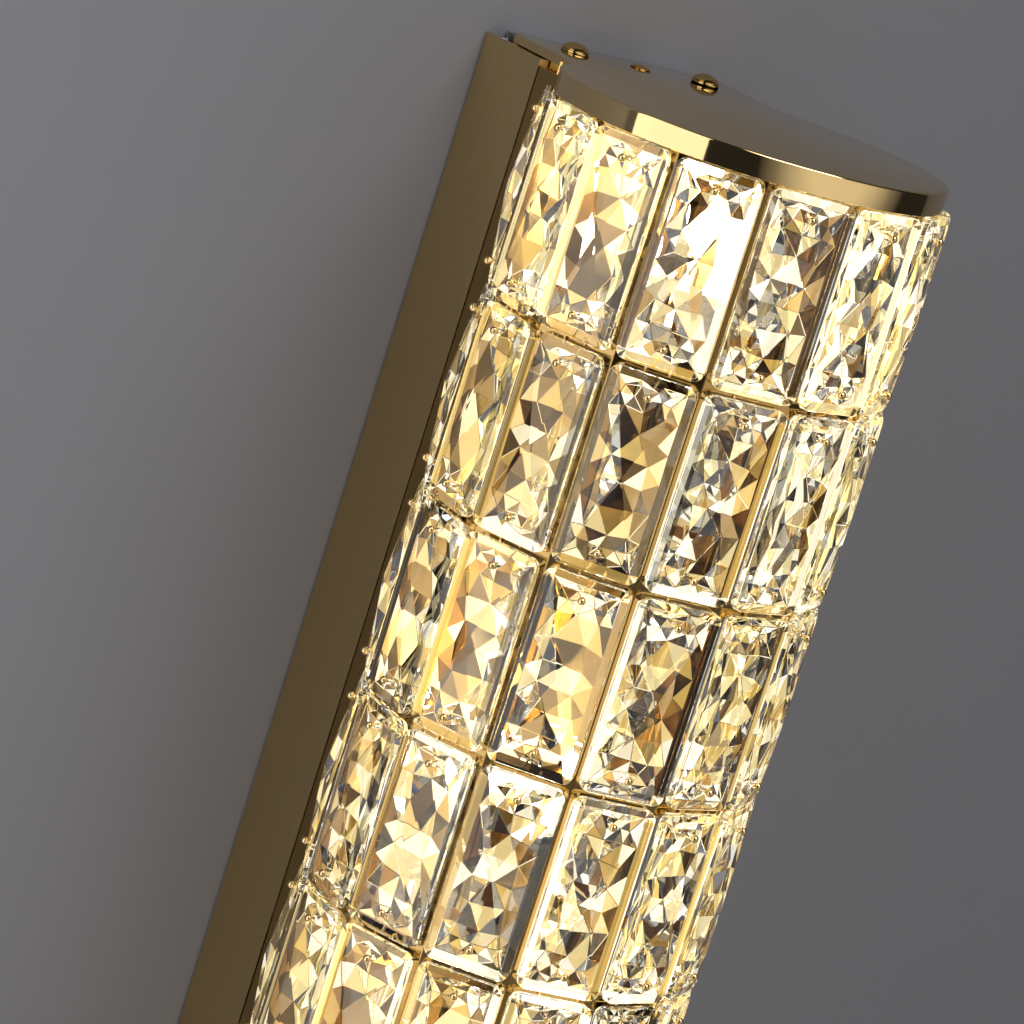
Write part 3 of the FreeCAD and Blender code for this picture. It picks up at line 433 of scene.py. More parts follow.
def turned(bm, profile, steps):
    """Turn a profile of (radius, height) about Z."""
    rings = []
    for radius, height in profile:
        if radius < 1e-7:
            rings.append([bm.verts.new((0, 0, height))])
            continue
        ring = []
        for i in range(steps):
            a = 2 * math.pi * i / steps
            ring.append(bm.verts.new((radius * math.cos(a), radius * math.sin(a), height)))
        rings.append(ring)
    for low, high in zip(rings, rings[1:]):
        for i in range(steps):
            j = (i + 1) % steps
            corners = [low[i % len(low)], low[j % len(low)], high[j % len(high)], high[i % len(high)]]
            unique = [v for k, v in enumerate(corners) if v not in corners[:k]]
            if len(unique) > 2:
                bm.faces.new(unique)


RIM_TO_LATTICE = 0.00015
RIM_OVER_CRYSTALS = 0.0003
PLATE_STEP = 0.00001  # where the plate has no rim, its edge ends this far over its chamfer


def lattice_radius():
    s = sizes()
    return s.rim_radius - s.rim_sheet - RIM_TO_LATTICE


def turn():
    return sizes().drum_arc / sizes().columns


def apothem():
    return lattice_radius() * math.cos(turn() / 2)


def facet_width():
    return 2 * lattice_radius() * math.sin(turn() / 2)


def field_half():
    return sizes().rows * sizes().row_pitch / 2


def rim_bottom():
    return field_half() - sizes().crystal_end_gap / 2 + RIM_OVER_CRYSTALS


def cap_top():
    return rim_bottom() + sizes().rim_height


def cap_under():
    return cap_top() - sizes().cap_sheet


def on_drum(column, level):
    """Place of a piece that was made at the drum's front, facing -Y."""
    angle = (column - (sizes().columns - 1) / 2) * turn()
    return Matrix.Translation((0, -sizes().wall_to_axis, level)) @ Matrix.Rotation(angle, 4, "Z")


def row_levels():
    s = sizes()
    return [s.row_pitch * ((s.rows - 1) / 2 - i) for i in range(s.rows)]


QUARTERS = ((1, 1), (-1, 1), (-1, -1), (1, -1))  # signs of X and Z, counter-clockwise


def rounded_corners(width, height, radius, steps):
    """Corner arcs of a rounded rectangle in X and Z, counter-clockwise, one list per corner."""
    corners = []
    for i, (sx, sz) in enumerate(QUARTERS):
        centre = (sx * (width / 2 - radius), sz * (height / 2 - radius))
        points = []
        for k in range(steps + 1):
            a = math.pi / 2 * (i + k / steps)
            points.append((centre[0] + radius * math.cos(a), centre[1] + radius * math.sin(a)))
        corners.append(points)
    return corners


# ------------------------------------------------------------------ crystals
FACET_ARRIS = 0.00011  # width of the tiny flat along each sharp edge
SHARP = math.radians(14)
# cut of the back: how far its points spread, how much they stray across and along, and the lowest cut
BACK_SPREAD = 0.93
STRAY_ACROSS, STRAY_ALONG = 0.07, 0.02
LOWEST_CUT = 0.75
BACK_EDGE_CUTS = (3, 6, 3, 6)
# shares of painted glow, which stands in for the lamps' light: on the back's middle, at its ends, on the
# front's bevels
MIDDLE_SHARE, END_SHARE, BEVEL_SHARE = 1.0, 1.1, 0.85
END_ZONE = 0.66  # the ends start at this part of the half height
# how far a hung crystal may lean and turn, in degrees
LEAN, SWAY = 0.5, 0.8


def gem_mesh():
    """One cut crystal at the drum's front: girdle, bevels, a four-sided peak on its face and a finer cut
    on its back."""
    s = sizes()
    width = facet_width() - s.crystal_side_gap
    height = s.row_pitch - s.crystal_end_gap
    centre = -apothem() - s.standoff
    bm = bmesh.new()
    corners = rounded_corners(width, height, s.crystal_corner, 4)
    inner_w = width / 2 - s.bevel_width
    inner_h = height / 2 - s.bevel_width
    rings = {}
    for side in (-1, 1):
        girdle = centre + side * s.girdle / 2
        shoulder = centre + side * (s.girdle / 2 + s.bevel_rise)
        outer = [[bm.verts.new((x, girdle, z)) for x, z in corner] for corner in corners]
        inner = [bm.verts.new((sx * inner_w, shoulder, sz * inner_h)) for sx, sz in QUARTERS]
        rings[side] = [v for corner in outer for v in corner]
        if side < 0:
            edge = inner
            peak = bm.verts.new((0, shoulder + side * s.peak_rise, 0))
            for i in range(4):
                bm.faces.new((inner[i], inner[(i + 1) % 4], peak))
        else:
            edge = cut_back(bm, inner, shoulder)
        for i in range(4):
            j = (i + 1) % 4
            last = edge.index(inner[j]) if j else len(edge)
            between = edge[edge.index(inner[i]):last] + [inner[j]]
            bm.faces.new([outer[i][-1], outer[j][0], *reversed(between)])
            for a, b in zip(outer[i], outer[i][1:]):
                bm.faces.new((a, b, inner[i]))
    count = len(rings[-1])
    for i in range(count):
        j = (i + 1) % count
        bm.faces.new((rings[-1][i], rings[-1][j], rings[1][j], rings[1][i]))
    bmesh.ops.recalc_face_normals(bm, faces=bm.faces)
    hard = [e for e in bm.edges if len(e.link_faces) == 2 and e.calc_face_angle() > SHARP]
    bmesh.ops.bevel(bm, geom=hard, offset=FACET_ARRIS, segments=1, affect="EDGES", clamp_overlap=True)
    return bored(mesh_from(bm, "gem"))


def cut_back(bm, inner, shoulder):
    """Uneven three-sided facets inside the four corners, long in the middle and small at both ends:
    returns the edge's vertices in order."""
    s = sizes()
    half_w, half_h = inner[0].co.x, inner[0].co.z
    rng = random.Random(21)
    edge = []
    for i, cuts in enumerate(BACK_EDGE_CUTS):
        start, end = inner[i].co, inner[(i + 1) % 4].co
        edge.append(inner[i])
        edge += [bm.verts.new(start.lerp(end, k / cuts)) for k in range(1, cuts)]
    verts = list(edge)
    for row, (level, count) in enumerate(BACK_ROWS):
        for k in range(count):
            x = (2 * (k + 0.5) / count - 1) * BACK_SPREAD + rng.uniform(-STRAY_ACROSS, STRAY_ACROSS)
            z = level + rng.uniform(-STRAY_ALONG, STRAY_ALONG)
            dome = (s.peak_rise - s.back_cut_rise) * (1 - max(abs(x), abs(z)) ** 2)
            lift = dome + s.back_cut_rise * ((row + k) % 2) * rng.uniform(LOWEST_CUT, 1.0)
            verts.append(bm.verts.new((x * half_w, shoulder + lift, z * half_h)))
    flat = [Vector((v.co.x, v.co.z)) for v in verts]
    rim = [(i, (i + 1) % len(edge)) for i in range(len(edge))]
    for face in delaunay_2d_cdt(flat, rim, [], 0, 1e-7)[2]:
        bm.faces.new([verts[i] for i in face])
    return edge


def bored(mesh):
    """Drill the two pin holes through the crystal."""
    s = sizes()
    drill = bmesh.new()
    level = s.row_pitch / 2 - s.pin_to_line
    for z in (-level, level):
        place = Matrix.Translation((0, -apothem() - s.standoff, z)) @ Matrix.Rotation(math.pi / 2, 4, "X")
        bmesh.ops.create_cone(
            drill, cap_ends=True, segments=20, depth=0.02,
            radius1=s.pin_hole, radius2=s.pin_hole, matrix=place,
        )
    gem = in_scene("gem_blank", mesh)
    tool = in_scene("gem_drill", mesh_from(drill, "drill"))
    cut = gem.modifiers.new("bores", "BOOLEAN")
    cut.operation = "DIFFERENCE"
    cut.solver = "EXACT"
    cut.object = tool
    evaluated = gem.evaluated_get(bpy.context.evaluated_depsgraph_get())
    done = bpy.data.meshes.new_from_object(evaluated)
    bpy.data.objects.remove(gem)
    bpy.data.objects.remove(tool)
    return done


def paint_facet_glow(gem):
    """Give each back facet a share of painted glow and painted dark shade, standing in for the lamps' light
    seen through the crystal, more at the two ends, and a little to the front's bevels. The rest of the
    crystal stays clear."""
    s = sizes()
    side = facet_width() / 2 - s.crystal_side_gap / 2 - s.bevel_width
    end = s.row_pitch / 2 * END_ZONE
    share = gem.attributes.new("lamp_share", "FLOAT", "FACE")
    for face, held in zip(gem.polygons, share.data):
        if face.area < s.smallest_painted_facet:
            continue
        if face.normal.y > 0.5:
            held.value = END_SHARE if abs(face.center.z) > end else MIDDLE_SHARE
        elif face.normal.y < -0.5 and abs(face.center.x) > side:
            held.value = BEVEL_SHARE


class SCONCE_OT_crystals(bpy.types.Operator):
    """Hang the columns of cut crystals on the drum"""

    bl_idname = "sconce.crystals"
    bl_label = "Crystals"

    def execute(self, context):
        gem = gem_mesh()
        paint_facet_glow(gem)
        material = finish("crystal", cut_crystal)
        rng = random.Random(7)
        centre = Vector((0, -apothem() - sizes().standoff, 0))
        for column in range(sizes().columns):
            bm = bmesh.new()
            for level in row_levels():
                over = Matrix.Rotation(math.pi * rng.randrange(2), 4, "Y")
                lean = Matrix.Rotation(math.radians(rng.uniform(-LEAN, LEAN)), 4, "X")
                sway = Matrix.Rotation(math.radians(rng.uniform(-SWAY, SWAY)), 4, "Z")
                about = Matrix.Translation(centre) @ lean @ sway @ over @ Matrix.Translation(-centre)
                add_copy(bm, gem, on_drum(column, level) @ about)
            # each marked facet's painted glow or painted dark shade is set by a random share
            share = bm.faces.layers.float["lamp_share"]
            for face in bm.faces:
                if face[share] > 0:
                    face[share] *= rng.random()
            name = "crystal_column_%02d" % (column + 1)
            mesh = to_mesh(bm, "cut_" + name)
            add_piece("cut_" + name, mesh, material, name, smooth=3)
        return {"FINISHED"}


# ------------------------------------------------------------------ pins
def tube(bm, points, radius, steps):
    """Round wire through points, with closed ends."""
    rings = []
    side = None
    for i, point in enumerate(points):
        ahead = points[min(i + 1, len(points) - 1)] - points[max(i - 1, 0)]
        along = ahead.normalized()
        if side is None:
            side = along.orthogonal().normalized()
        side = (side - along * side.dot(along)).normalized()
        other = along.cross(side)
        ring = []
        for k in range(steps):
            a = 2 * math.pi * k / steps
            ring.append(bm.verts.new(point + (side * math.cos(a) + other * math.sin(a)) * radius))
        rings.append(ring)
    for low, high in zip(rings, rings[1:]):
        for k in range(steps):
            j = (k + 1) % steps
            bm.faces.new((low[k], low[j], high[j], high[k]))
    bm.faces.new(list(reversed(rings[0])))
    bm.faces.new(rings[-1])


def rounded_route(points, radius, steps=4):
    """Route with each corner drawn as an arc-like curve."""
    route = [points[0]]
    for before, corner, after in zip(points, points[1:], points[2:]):
        back = min(radius, (before - corner).length / 2, (after - corner).length / 2)
        start = corner + (before - corner).normalized() * back
        end = corner + (after - corner).normalized() * back
        for k in range(steps + 1):
            t = k / steps
            route.append(start * (1 - t) ** 2 + corner * 2 * t * (1 - t) + end * t ** 2)
    route.append(points[-1])
    return route


PIN_CLEARANCE = 0.0001  # wire to lattice sheet
PIN_OVER_BAR = 0.0002  # wire past the crossbar's edge
PIN_SIDEWAYS = 0.003  # how far the hook leans to the side
PIN_TAIL = 0.0024  # end of the wire in front of the crossbar
PIN_BEND = 0.0008
BALL_SINK = 0.75  # share of the ball's radius that stands off the crystal


def pin_mesh(end):
    """Ball-headed pin: through the crystal, then back and over the crossbar beyond its end."""
    s = sizes()
    level = s.row_pitch / 2 - s.pin_to_line
    inner_half = (s.row_pitch - s.crystal_end_gap) / 2 - s.bevel_width
    half = s.girdle / 2 + s.bevel_rise + s.peak_rise * (1 - level / inner_half)
    seat = apothem() + s.standoff + half
    behind = -(apothem() - s.lattice_sheet - s.pin_wire - PIN_CLEARANCE)
    front = -(apothem() + s.pin_wire + PIN_CLEARANCE)
    z = end * level
    over = z + end * (s.pin_to_line + s.lattice_bar / 2 + s.pin_wire + PIN_OVER_BAR)
    side = end * PIN_SIDEWAYS
    route = [
        Vector((0, -seat, z)),
        Vector((0, behind, z)),
        Vector((side, behind, over)),
        Vector((side, front, over)),
        Vector((side, front, over - end * PIN_TAIL)),
    ]
    bm = bmesh.new()
    tube(bm, rounded_route(route, PIN_BEND), s.pin_wire, 10)
    centre = Vector((0, -seat - s.pin_ball * BALL_SINK, z))
    bmesh.ops.create_uvsphere(
        bm, u_segments=20, v_segments=14, radius=s.pin_ball, matrix=Matrix.Translation(centre)
    )
    return mesh_from(bm, "pin")


class SCONCE_OT_pins(bpy.types.Operator):
    """Put a ball-headed pin through both ends of each crystal"""

    bl_idname = "sconce.pins"
    bl_label = "Crystal pins"

    def execute(self, context):
        bm = bmesh.new()
        for end in (1, -1):
            pin = pin_mesh(end)
            for column in range(sizes().columns):
                for level in row_levels():
                    add_copy(bm, pin, on_drum(column, level))
        mesh = to_mesh(bm, "hooked_pins")
        gilt = finish("gilt", gold_plated_stainless, "polished", colours().gilt)
        add_piece("hooked_pins", mesh, gilt, "crystal_pins", smooth=60)
        return {"FINISHED"}


# ------------------------------------------------------------------ caps and their screws
RIM_STEPS = 90
BARE_STEPS = 4  # round the plate, from the rim's end to the neck
FILLET_STEPS = 10
ROLL_STEPS = 4
ROLL = 0.0007  # radius of the plate's top edge
RIM_CHAMFER = 0.00015
LONGEST_MITRE = 2
CUT_MITRE = 1.4


def cap_outline():
    """Outline from the right end of the rim round the front, then the neck: (x, y, has a rim)."""
    s = sizes()
    reach = s.rim_radius + s.neck_fillet
    fillet_x = s.neck_half_width + s.neck_fillet
    fillet_y = math.sqrt(reach ** 2 - fillet_x ** 2)
    meet_angle = math.pi - math.asin(fillet_x / reach)
    back = s.wall_to_axis - s.neck_back_gap
    half = []
    for i in range(RIM_STEPS + 1):
        a = s.rim_end * i / RIM_STEPS
        half.append((s.rim_radius * math.sin(a), -s.rim_radius * math.cos(a), True))
    for i in range(BARE_STEPS + 1):
        a = s.rim_end + (meet_angle - s.rim_end) * i / BARE_STEPS
        half.append((s.rim_radius * math.sin(a), -s.rim_radius * math.cos(a), False))
    start = meet_angle - math.pi
    for i in range(1, FILLET_STEPS + 1):
        a = start + (-math.pi / 2 - start) * i / FILLET_STEPS
        x = fillet_x + s.neck_fillet * math.sin(a)
        y = fillet_y - s.neck_fillet * math.cos(a)
        half.append((x, y, False))
    half.append((s.neck_half_width, fillet_y, True))
    half.append((s.neck_half_width, back, True))
    half.append((s.neck_half_width, back, False))
    mirrored = [(-x, y, rim) for x, y, rim in reversed(half[1:])]
    return half + mirrored


def neighbour(points, i, step):
    """The next point in a closed outline that isn't in the same place."""
    k = i + step
    while (points[k % len(points)] - points[i]).length < 1e-7:
        k += step
    return points[k % len(points)]


def outward(points, i):
    """Mitre direction at a point of an outline, away from what the outline holds."""
    before = (points[i] - neighbour(points, i, -1)).normalized()
    after = (neighbour(points, i, 1) - points[i]).normalized()
    out = Vector((before.y, -before.x)) + Vector((after.y, -after.x))
    out = out * (2 / out.length_squared)
    return out if out.length < LONGEST_MITRE else out.normalized() * CUT_MITRE


def cap_mesh():
    """Plate with a folded-down rim; its top edge is rolled over."""
    s = sizes()
    outline = cap_outline()
    points = [Vector((x, y)) for x, y, _ in outline]
    bm = bmesh.new()
    columns = []
    for i, (x, y, rim) in enumerate(outline):
        out = outward(points, i)
        low = rim_bottom() if rim else cap_under()
        column = []
        for step in range(ROLL_STEPS + 1):
            angle = math.pi / 2 * (1 - step / ROLL_STEPS)
            inset = ROLL * (1 - math.cos(angle))
            column.append((inset, cap_top() - ROLL + ROLL * math.sin(angle)))
        column.append((0, low + RIM_CHAMFER))
        column.append((RIM_CHAMFER, low))
        column.append((s.rim_sheet - RIM_CHAMFER, low))
        column.append((s.rim_sheet, low + RIM_CHAMFER))
        column.append((s.rim_sheet, cap_under() if rim else low + RIM_CHAMFER + PLATE_STEP))
        columns.append([bm.verts.new((x - out.x * d, y - out.y * d, z)) for d, z in column])
    for i in range(len(columns)):
        left, right = columns[i], columns[(i + 1) % len(columns)]
        for k in range(len(left) - 1):
            bm.faces.new((left[k], right[k], right[k + 1], left[k + 1]))
    bm.faces.new([c[0] for c in columns])
    bm.faces.new([c[-1] for c in reversed(columns)])
    bmesh.ops.translate(bm, verts=bm.verts, vec=(0, -s.wall_to_axis, 0))
    bmesh.ops.remove_doubles(bm, verts=bm.verts, dist=1e-8)
    return mesh_from(bm, "cap")


# screw outlines under their domed tops, as (radius, height over the plate) in metres
DOME_SCREW = (
    (0, -0.0099), (0.0019, -0.0099), (0.002, 0), (0.0036, 0), (0.0038, 0.00012), (0.0038, 0.0005),
    (0.0037, 0.0006), (0.0033, 0.00065), (0.0033, 0.00088), (0.0036, 0.00092),
)
LOW_SCREW = ((0, -0.0069), (0.0014, -0.0069), (0.0015, 0), (0.00265, 0), (0.00275, 0.0001))
# domed tops: radius, rise, where the dome starts, steps over it and steps round it
DOME_HEAD = (0.0037, 0.0017, 0.0009, 14, 64)
LOW_HEAD = (0.00275, 0.0007, 0.0002, 10, 48)


def screw_mesh(name, outline, head):
    """A turned screw: its outline, then a top that is part of a ball."""
    radius, rise, start, steps, around = head
    ball = (radius ** 2 + rise ** 2) / (2 * rise)
    edge = math.asin(radius / ball)
    profile = list(outline)
    for i in range(steps + 1):
        a = edge * (1 - i / steps)
        profile.append((ball * math.sin(a), start + rise - ball + ball * math.cos(a)))
    bm = bmesh.new()
    turned(bm, profile, around)
    return mesh_from(bm, name)


def both_ends(mesh):
    """The mesh and its copy turned over, in one mesh."""
    bm = bmesh.new()
    add_copy(bm, mesh, Matrix.Identity(4))
    add_copy(bm, mesh, Matrix.Rotation(math.pi, 4, "Y"))
    return to_mesh(bm, mesh.name + "_both")


class SCONCE_OT_caps(bpy.types.Operator):
    """Make the two cap plates with their rolled rims"""

    bl_idname = "sconce.caps"
    bl_label = "Caps"

    def execute(self, context):
        material = finish("gilt", gold_plated_stainless, "polished", colours().gilt)
        top = cap_mesh()
        foot = top.copy()
        foot.transform(Matrix.Rotation(math.pi, 4, "Y"))
        add_piece("pressed_top_cap", top, material, "top_cap", smooth=40)
        add_piece("pressed_bottom_cap", foot, material, "bottom_cap", smooth=40)
        return {"FINISHED"}


class SCONCE_OT_cap_screws(bpy.types.Operator):
    """Turn the dome screws and the small middle screws of the caps"""

    bl_idname = "sconce.cap_screws"
    bl_label = "Cap screws"

    def execute(self, context):
        s = sizes()
        brass = finish("brass", polished_brass)
        dome = screw_mesh("dome", DOME_SCREW, DOME_HEAD)
        bm = bmesh.new()
        for x in (-s.screw_spacing, s.screw_spacing):
            add_copy(bm, dome, Matrix.Translation((x, -s.screw_to_wall, cap_top())))
        pair = both_ends(to_mesh(bm, "dome_screws"))
        add_piece("dome_screws", pair, brass, "cap_dome_screws", smooth=50)
        low = screw_mesh("low_screw", LOW_SCREW, LOW_HEAD)
        low.transform(Matrix.Translation((0, -s.screw_to_wall, cap_top())))
        add_piece("low_screws", both_ends(low), brass, "cap_centre_screws", smooth=50)
        return {"FINISHED"}


# ------------------------------------------------------------------ lattice
EDGE_ROUND = 0.00018
LATTICE_TO_CAP = 0.0001


def flat_panel(name, outline, windows, thickness):
    """Sheet panel in X and Z with windows; its edges are polished round."""
    curve = bpy.data.curves.new(name, "CURVE")
    curve.dimensions = "2D"
    curve.fill_mode = "BOTH"
    curve.bevel_depth = EDGE_ROUND
    curve.bevel_resolution = 1
    curve.offset = -EDGE_ROUND
    curve.extrude = thickness / 2 - EDGE_ROUND
    for loop in [outline] + windows:
        spline = curve.splines.new("POLY")
        spline.points.add(len(loop) - 1)
        for point, (x, z) in zip(spline.points, loop):
            point.co = (x, z, 0, 1)
        spline.use_cyclic_u = True
    carrier = in_scene(name, curve)
    evaluated = carrier.evaluated_get(bpy.context.evaluated_depsgraph_get())
    mesh = bpy.data.meshes.new_from_object(evaluated)
    bpy.data.objects.remove(carrier)
    mesh.transform(Matrix.Rotation(math.pi / 2, 4, "X"))
    return mesh


def column_panel():
    """One column of the lattice: uprights, crossbars with rounded windows, and its two ends' notches."""
    s = sizes()
    width = facet_width()
    high = cap_under() - LATTICE_TO_CAP
    bar = s.lattice_bar / 2
    post = width / 2
    line = field_half() + bar
    inner = post - bar
    right = [(post, -high), (post, high), (inner, high), (inner, line)]
    outline = right + [(-x, z) for x, z in reversed(right)]
    outline += [(-inner, -high), (-inner, -line), (inner, -line), (inner, -high)]
    windows = []
    for level in row_levels():
        loop = rounded_corners(width - 2 * bar, s.row_pitch - 2 * bar, s.window_corner, 6)
        windows.append([(x, z + level) for corner in loop for x, z in corner])
    panel = flat_panel("lattice_panel", outline, windows, s.lattice_sheet)
    panel.transform(Matrix.Translation((0, -apothem() + s.lattice_sheet / 2, 0)))
    return panel


def lattice_side(sign):
    """Side wall from the drum to the box, with its foot on the box's front."""
    s = sizes()
    high = cap_under() - LATTICE_TO_CAP
    bar = s.lattice_bar / 2
    line = field_half() + bar
    angle = s.drum_arc / 2
    corner_x = lattice_radius() * math.sin(angle)
    corner_y = -s.wall_to_axis - lattice_radius() * math.cos(angle)
    leg = -s.box_depth - corner_y
    front, notch = -leg / 2, -leg / 2 + bar
    leg_loop = [(front, -high), (notch, -high), (notch, -line), (leg / 2, -line)]
    leg_loop += [(x, -z) for x, z in reversed(leg_loop)]
    foot_loop = [(sx * s.foot / 2, sz * line) for sx, sz in QUARTERS]
    bm = bmesh.new()
    place = Matrix.Translation((sign * (corner_x - s.lattice_sheet / 2), corner_y + leg / 2, 0))
    wall = flat_panel("lattice_wall", leg_loop, [], s.lattice_sheet)
    add_copy(bm, wall, place @ Matrix.Rotation(math.pi / 2, 4, "Z"))
    foot = flat_panel("lattice_foot", foot_loop, [], s.lattice_sheet)
    x = sign * (corner_x - s.foot / 2)
    add_copy(bm, foot, Matrix.Translation((x, -s.box_depth - s.lattice_sheet / 2, 0)))
    return to_mesh(bm, "lattice_side")


class SCONCE_OT_lattice(bpy.types.Operator):
    """Fold the windowed panels that carry the crystals, and their two sides"""

    bl_idname = "sconce.lattice"
    bl_label = "Lattice"

    def execute(self, context):
        gilt = finish("lattice", gold_plated_stainless, "lattice", colours().lattice)
        panel = column_panel()
        for i, start in enumerate(range(0, sizes().columns, 2)):
            bm = bmesh.new()
            for column in range(start, min(start + 2, sizes().columns)):
                add_copy(bm, panel, on_drum(column, 0))
            name = "lattice_panel_%02d" % (i + 1)
            mesh = to_mesh(bm, "folded_" + name)
            add_piece("folded_" + name, mesh, gilt, name, smooth=40)
        for side, sign in (("left", -1), ("right", 1)):
            add_piece("folded_side_" + side, lattice_side(sign), gilt, "lattice_side_" + side, smooth=40)
        dress(["lattice_screws"], finish("brass", polished_brass))
        return {"FINISHED"}


# ------------------------------------------------------------------ box, lamps and wiring
class SCONCE_OT_wall_box(bpy.types.Operator):
    """Finish the box, the wall bracket and the hidden steel parts"""

    bl_idname = "sconce.wall_box"
    bl_label = "Wall box"

    def execute(self, context):
        dress(["back_box"], finish("satin_front", gold_plated_satin, "front", -0.9))
        zinc = ["wall_bracket", "box_nuts", "cap_nuts", "shelf_screws", "holder_screws"]
        dress(zinc, finish("zinc", zinc_plated_steel))
        return {"FINISHED"}


LIGHT_PAST_GLASS = 1.1  # radius of a bulb's light as a part of its glass's radius
LIGHT_PLACES = (0.3, 0.7)  # along the glass


def bulb_light(name):
    """Two soft warm points round a bulb, just outside its glass: the light that the lit bulb gives."""
    corners = node_corners("bulb_glass_" + name)
    low, high = min(c.z for c in corners), max(c.z for c in corners)
    middle = sum(corners, Vector()) / 8
    reach = max(c.x for c in corners) - middle.x
    for part in LIGHT_PLACES:
        lamp = bpy.data.lights.new("bulb_light_" + name, "POINT")
        lamp.shadow_soft_size = reach * LIGHT_PAST_GLASS
        lamp.energy = colours().bulb_power
        lamp.color = linear(colours().lamp)[:3]
        holder = in_scene("bulb_light_" + name, lamp)
        holder.location = (middle.x, middle.y, low + (high - low) * part)
        holder.visible_camera = False


class SCONCE_OT_lamps(bpy.types.Operator):
    """Finish the shelves, holders and bulbs, and light the bulbs"""

    bl_idname = "sconce.lamps"
    bl_label = "Lamps"

    def execute(self, context):
        for name in LAMP_NAMES:
            dress(["lamp_shelf_" + name], finish("satin_all", gold_plated_satin, "all", 2.0))
            dress(["lamp_holder_" + name, "bulb_base_" + name], finish("steatite", glazed_steatite))
            dress(["bulb_glass_" + name], finish("bulb", bulb_glass))
            dress(["light_column_" + name], finish("phosphor", lit_phosphor))
            bulb_light(name)
        return {"FINISHED"}


class SCONCE_OT_wiring(bpy.types.Operator):
    """Finish the wires, rubber rings, terminal block and earth parts"""

    bl_idname = "sconce.wiring"
    bl_label = "Wiring"

    def execute(self, context):
        dress(["wire_grommets", "inlet_grommet"], finish("rubber", moulded_rubber))
        dress(["terminal_block"], finish("nylon", moulded_nylon))
        dress(["terminal_screws", "earth_screw", "earth_tag"], finish("zinc", zinc_plated_steel))
        dress(["live_wires"], finish("live", extruded_pvc, "brown", "#4A2A17", "#5C3520"))
        dress(["neutral_wires"], finish("neutral", extruded_pvc, "blue", "#1F4E9A", "#2A5FB4"))
        dress(["earth_wire"], finish("earth", extruded_pvc, "green", "#3E7A2C", "#B5B82E"))
        return {"FINISHED"}


# ------------------------------------------------------------------ stage
def soft_light(name, place, target, size, power):
    lamp = bpy.data.lights.new(name, "AREA")
    lamp.shape = "RECTANGLE"
    lamp.size, lamp.size_y = size
    lamp.energy = power
    holder = in_scene(name, lamp)
    holder.location = place
    holder.rotation_euler = (Vector(target) - Vector(place)).to_track_quat("-Z", "Y").to_euler()
    holder.visible_camera = False


def node_corners(name):
    """Corners of a frame node's own box, in the scene's metres."""
    node = bpy.data.objects[name]
    return [node.matrix_world @ Vector(c) for c in node.bound_box]


def board(name, faces, material):
    """A thin stage board from lists of corners."""
    bm = bmesh.new()
    for corners in faces:
        bm.faces.new([bm.verts.new(c) for c in corners])
    bmesh.ops.subdivide_edges(bm, edges=bm.edges, cuts=4, use_grid_fill=True)
    mesh = to_mesh(bm, name)
    mesh.materials.append(material)
    in_scene(name, mesh)


# the wall just behind the lamp, and the floor, in metres
WALL_REACH = 3
WALL_Y = 0.0006
FLOOR_LEVEL = -0.6
FLOOR_FRONT = -4
OPENING_MARGIN = 0.002  # the wall's opening inside the box's outline


def wall_faces():
    """The wall round an opening just inside the box's outline, so that light reaches the lamp's back."""
    box_x = [c.x for c in node_corners("back_box")]
    box_z = [c.z for c in node_corners("back_box")]
    xs = (-WALL_REACH, min(box_x) + OPENING_MARGIN, max(box_x) - OPENING_MARGIN, WALL_REACH)
    zs = (FLOOR_LEVEL, min(box_z) + OPENING_MARGIN, max(box_z) - OPENING_MARGIN, WALL_REACH)
    faces = []
    for i in range(3):
        for k in range(3):
            if (i, k) != (1, 1):
                square = ((i, k), (i + 1, k), (i + 1, k + 1), (i, k + 1))
                faces.append([(xs[a], WALL_Y, zs[b]) for a, b in square])
    return faces


def soft_room():
    """Dark room with one broad soft light to the right of the front, as a large diffuser gives, and an even
    grey behind the wall, which only the lamp's back sees."""
    world = bpy.data.worlds.new("soft_room")
    world.use_nodes = True
    tree = world.node_tree
    place = add_node(tree, "ShaderNodeTexCoord").outputs["Generated"]
    heading = math.radians(20)
    middle = (math.sin(heading), -math.cos(heading), 0.1)
    towards = add_node(tree, "ShaderNodeVectorMath", {"operation": "DOT_PRODUCT"}, {0: place, 1: middle})
    dark = linear("#2A2A2C")
    stops = [(0.68, dark), (0.8, linear("#8A8884")), (0.97, linear("#F4F0E8"))]
    front = add_node(tree, "ShaderNodeValToRGB", {"stops": stops}, {"Fac": towards.outputs["Value"]})
    part = add_node(tree, "ShaderNodeSeparateXYZ", None, {"Vector": place})
    grey = [(0.05, linear("#000000")), (0.3, linear("#B8B8BA"))]
    behind = add_node(tree, "ShaderNodeValToRGB", {"stops": grey}, {"Fac": part.outputs["Y"]})
    # the Mix node's colours are inputs 6 and 7 and output 2
    both = {"Factor": 1.0, 6: front.outputs["Color"], 7: behind.outputs["Color"]}
    room = {2: tree.nodes["Background"].inputs["Color"]}
    add_node(tree, "ShaderNodeMix", {"data_type": "RGBA", "blend_type": "ADD"}, both, room)
    return world


# camera, fitted to the crystals' corners in the picture
CAMERA_PLACE = (-0.6936, -1.0587, 0.3239)
CAMERA_LENS = 172.34  # mm on a sensor 36 mm wide
CAMERA_RIGHT = Vector((0.8253, -0.4798, 0.2976))
CAMERA_DOWN = Vector((0.1456, -0.3284, -0.9332))
CAMERA_AHEAD = Vector((0.5456, 0.8136, -0.2012))


def add_camera():
    """Camera where the picture was taken from: to the left of the front, a little above, rolled."""
    data = bpy.data.cameras.new("camera")
    data.sensor_width = 36.0
    data.lens = CAMERA_LENS
    data.clip_end = 50
    camera = in_scene("camera", data)
    turned_to = Matrix((CAMERA_RIGHT, -CAMERA_DOWN, -CAMERA_AHEAD)).transposed().to_4x4()
    camera.matrix_world = Matrix.Translation(CAMERA_PLACE) @ turned_to
    bpy.context.scene.camera = camera


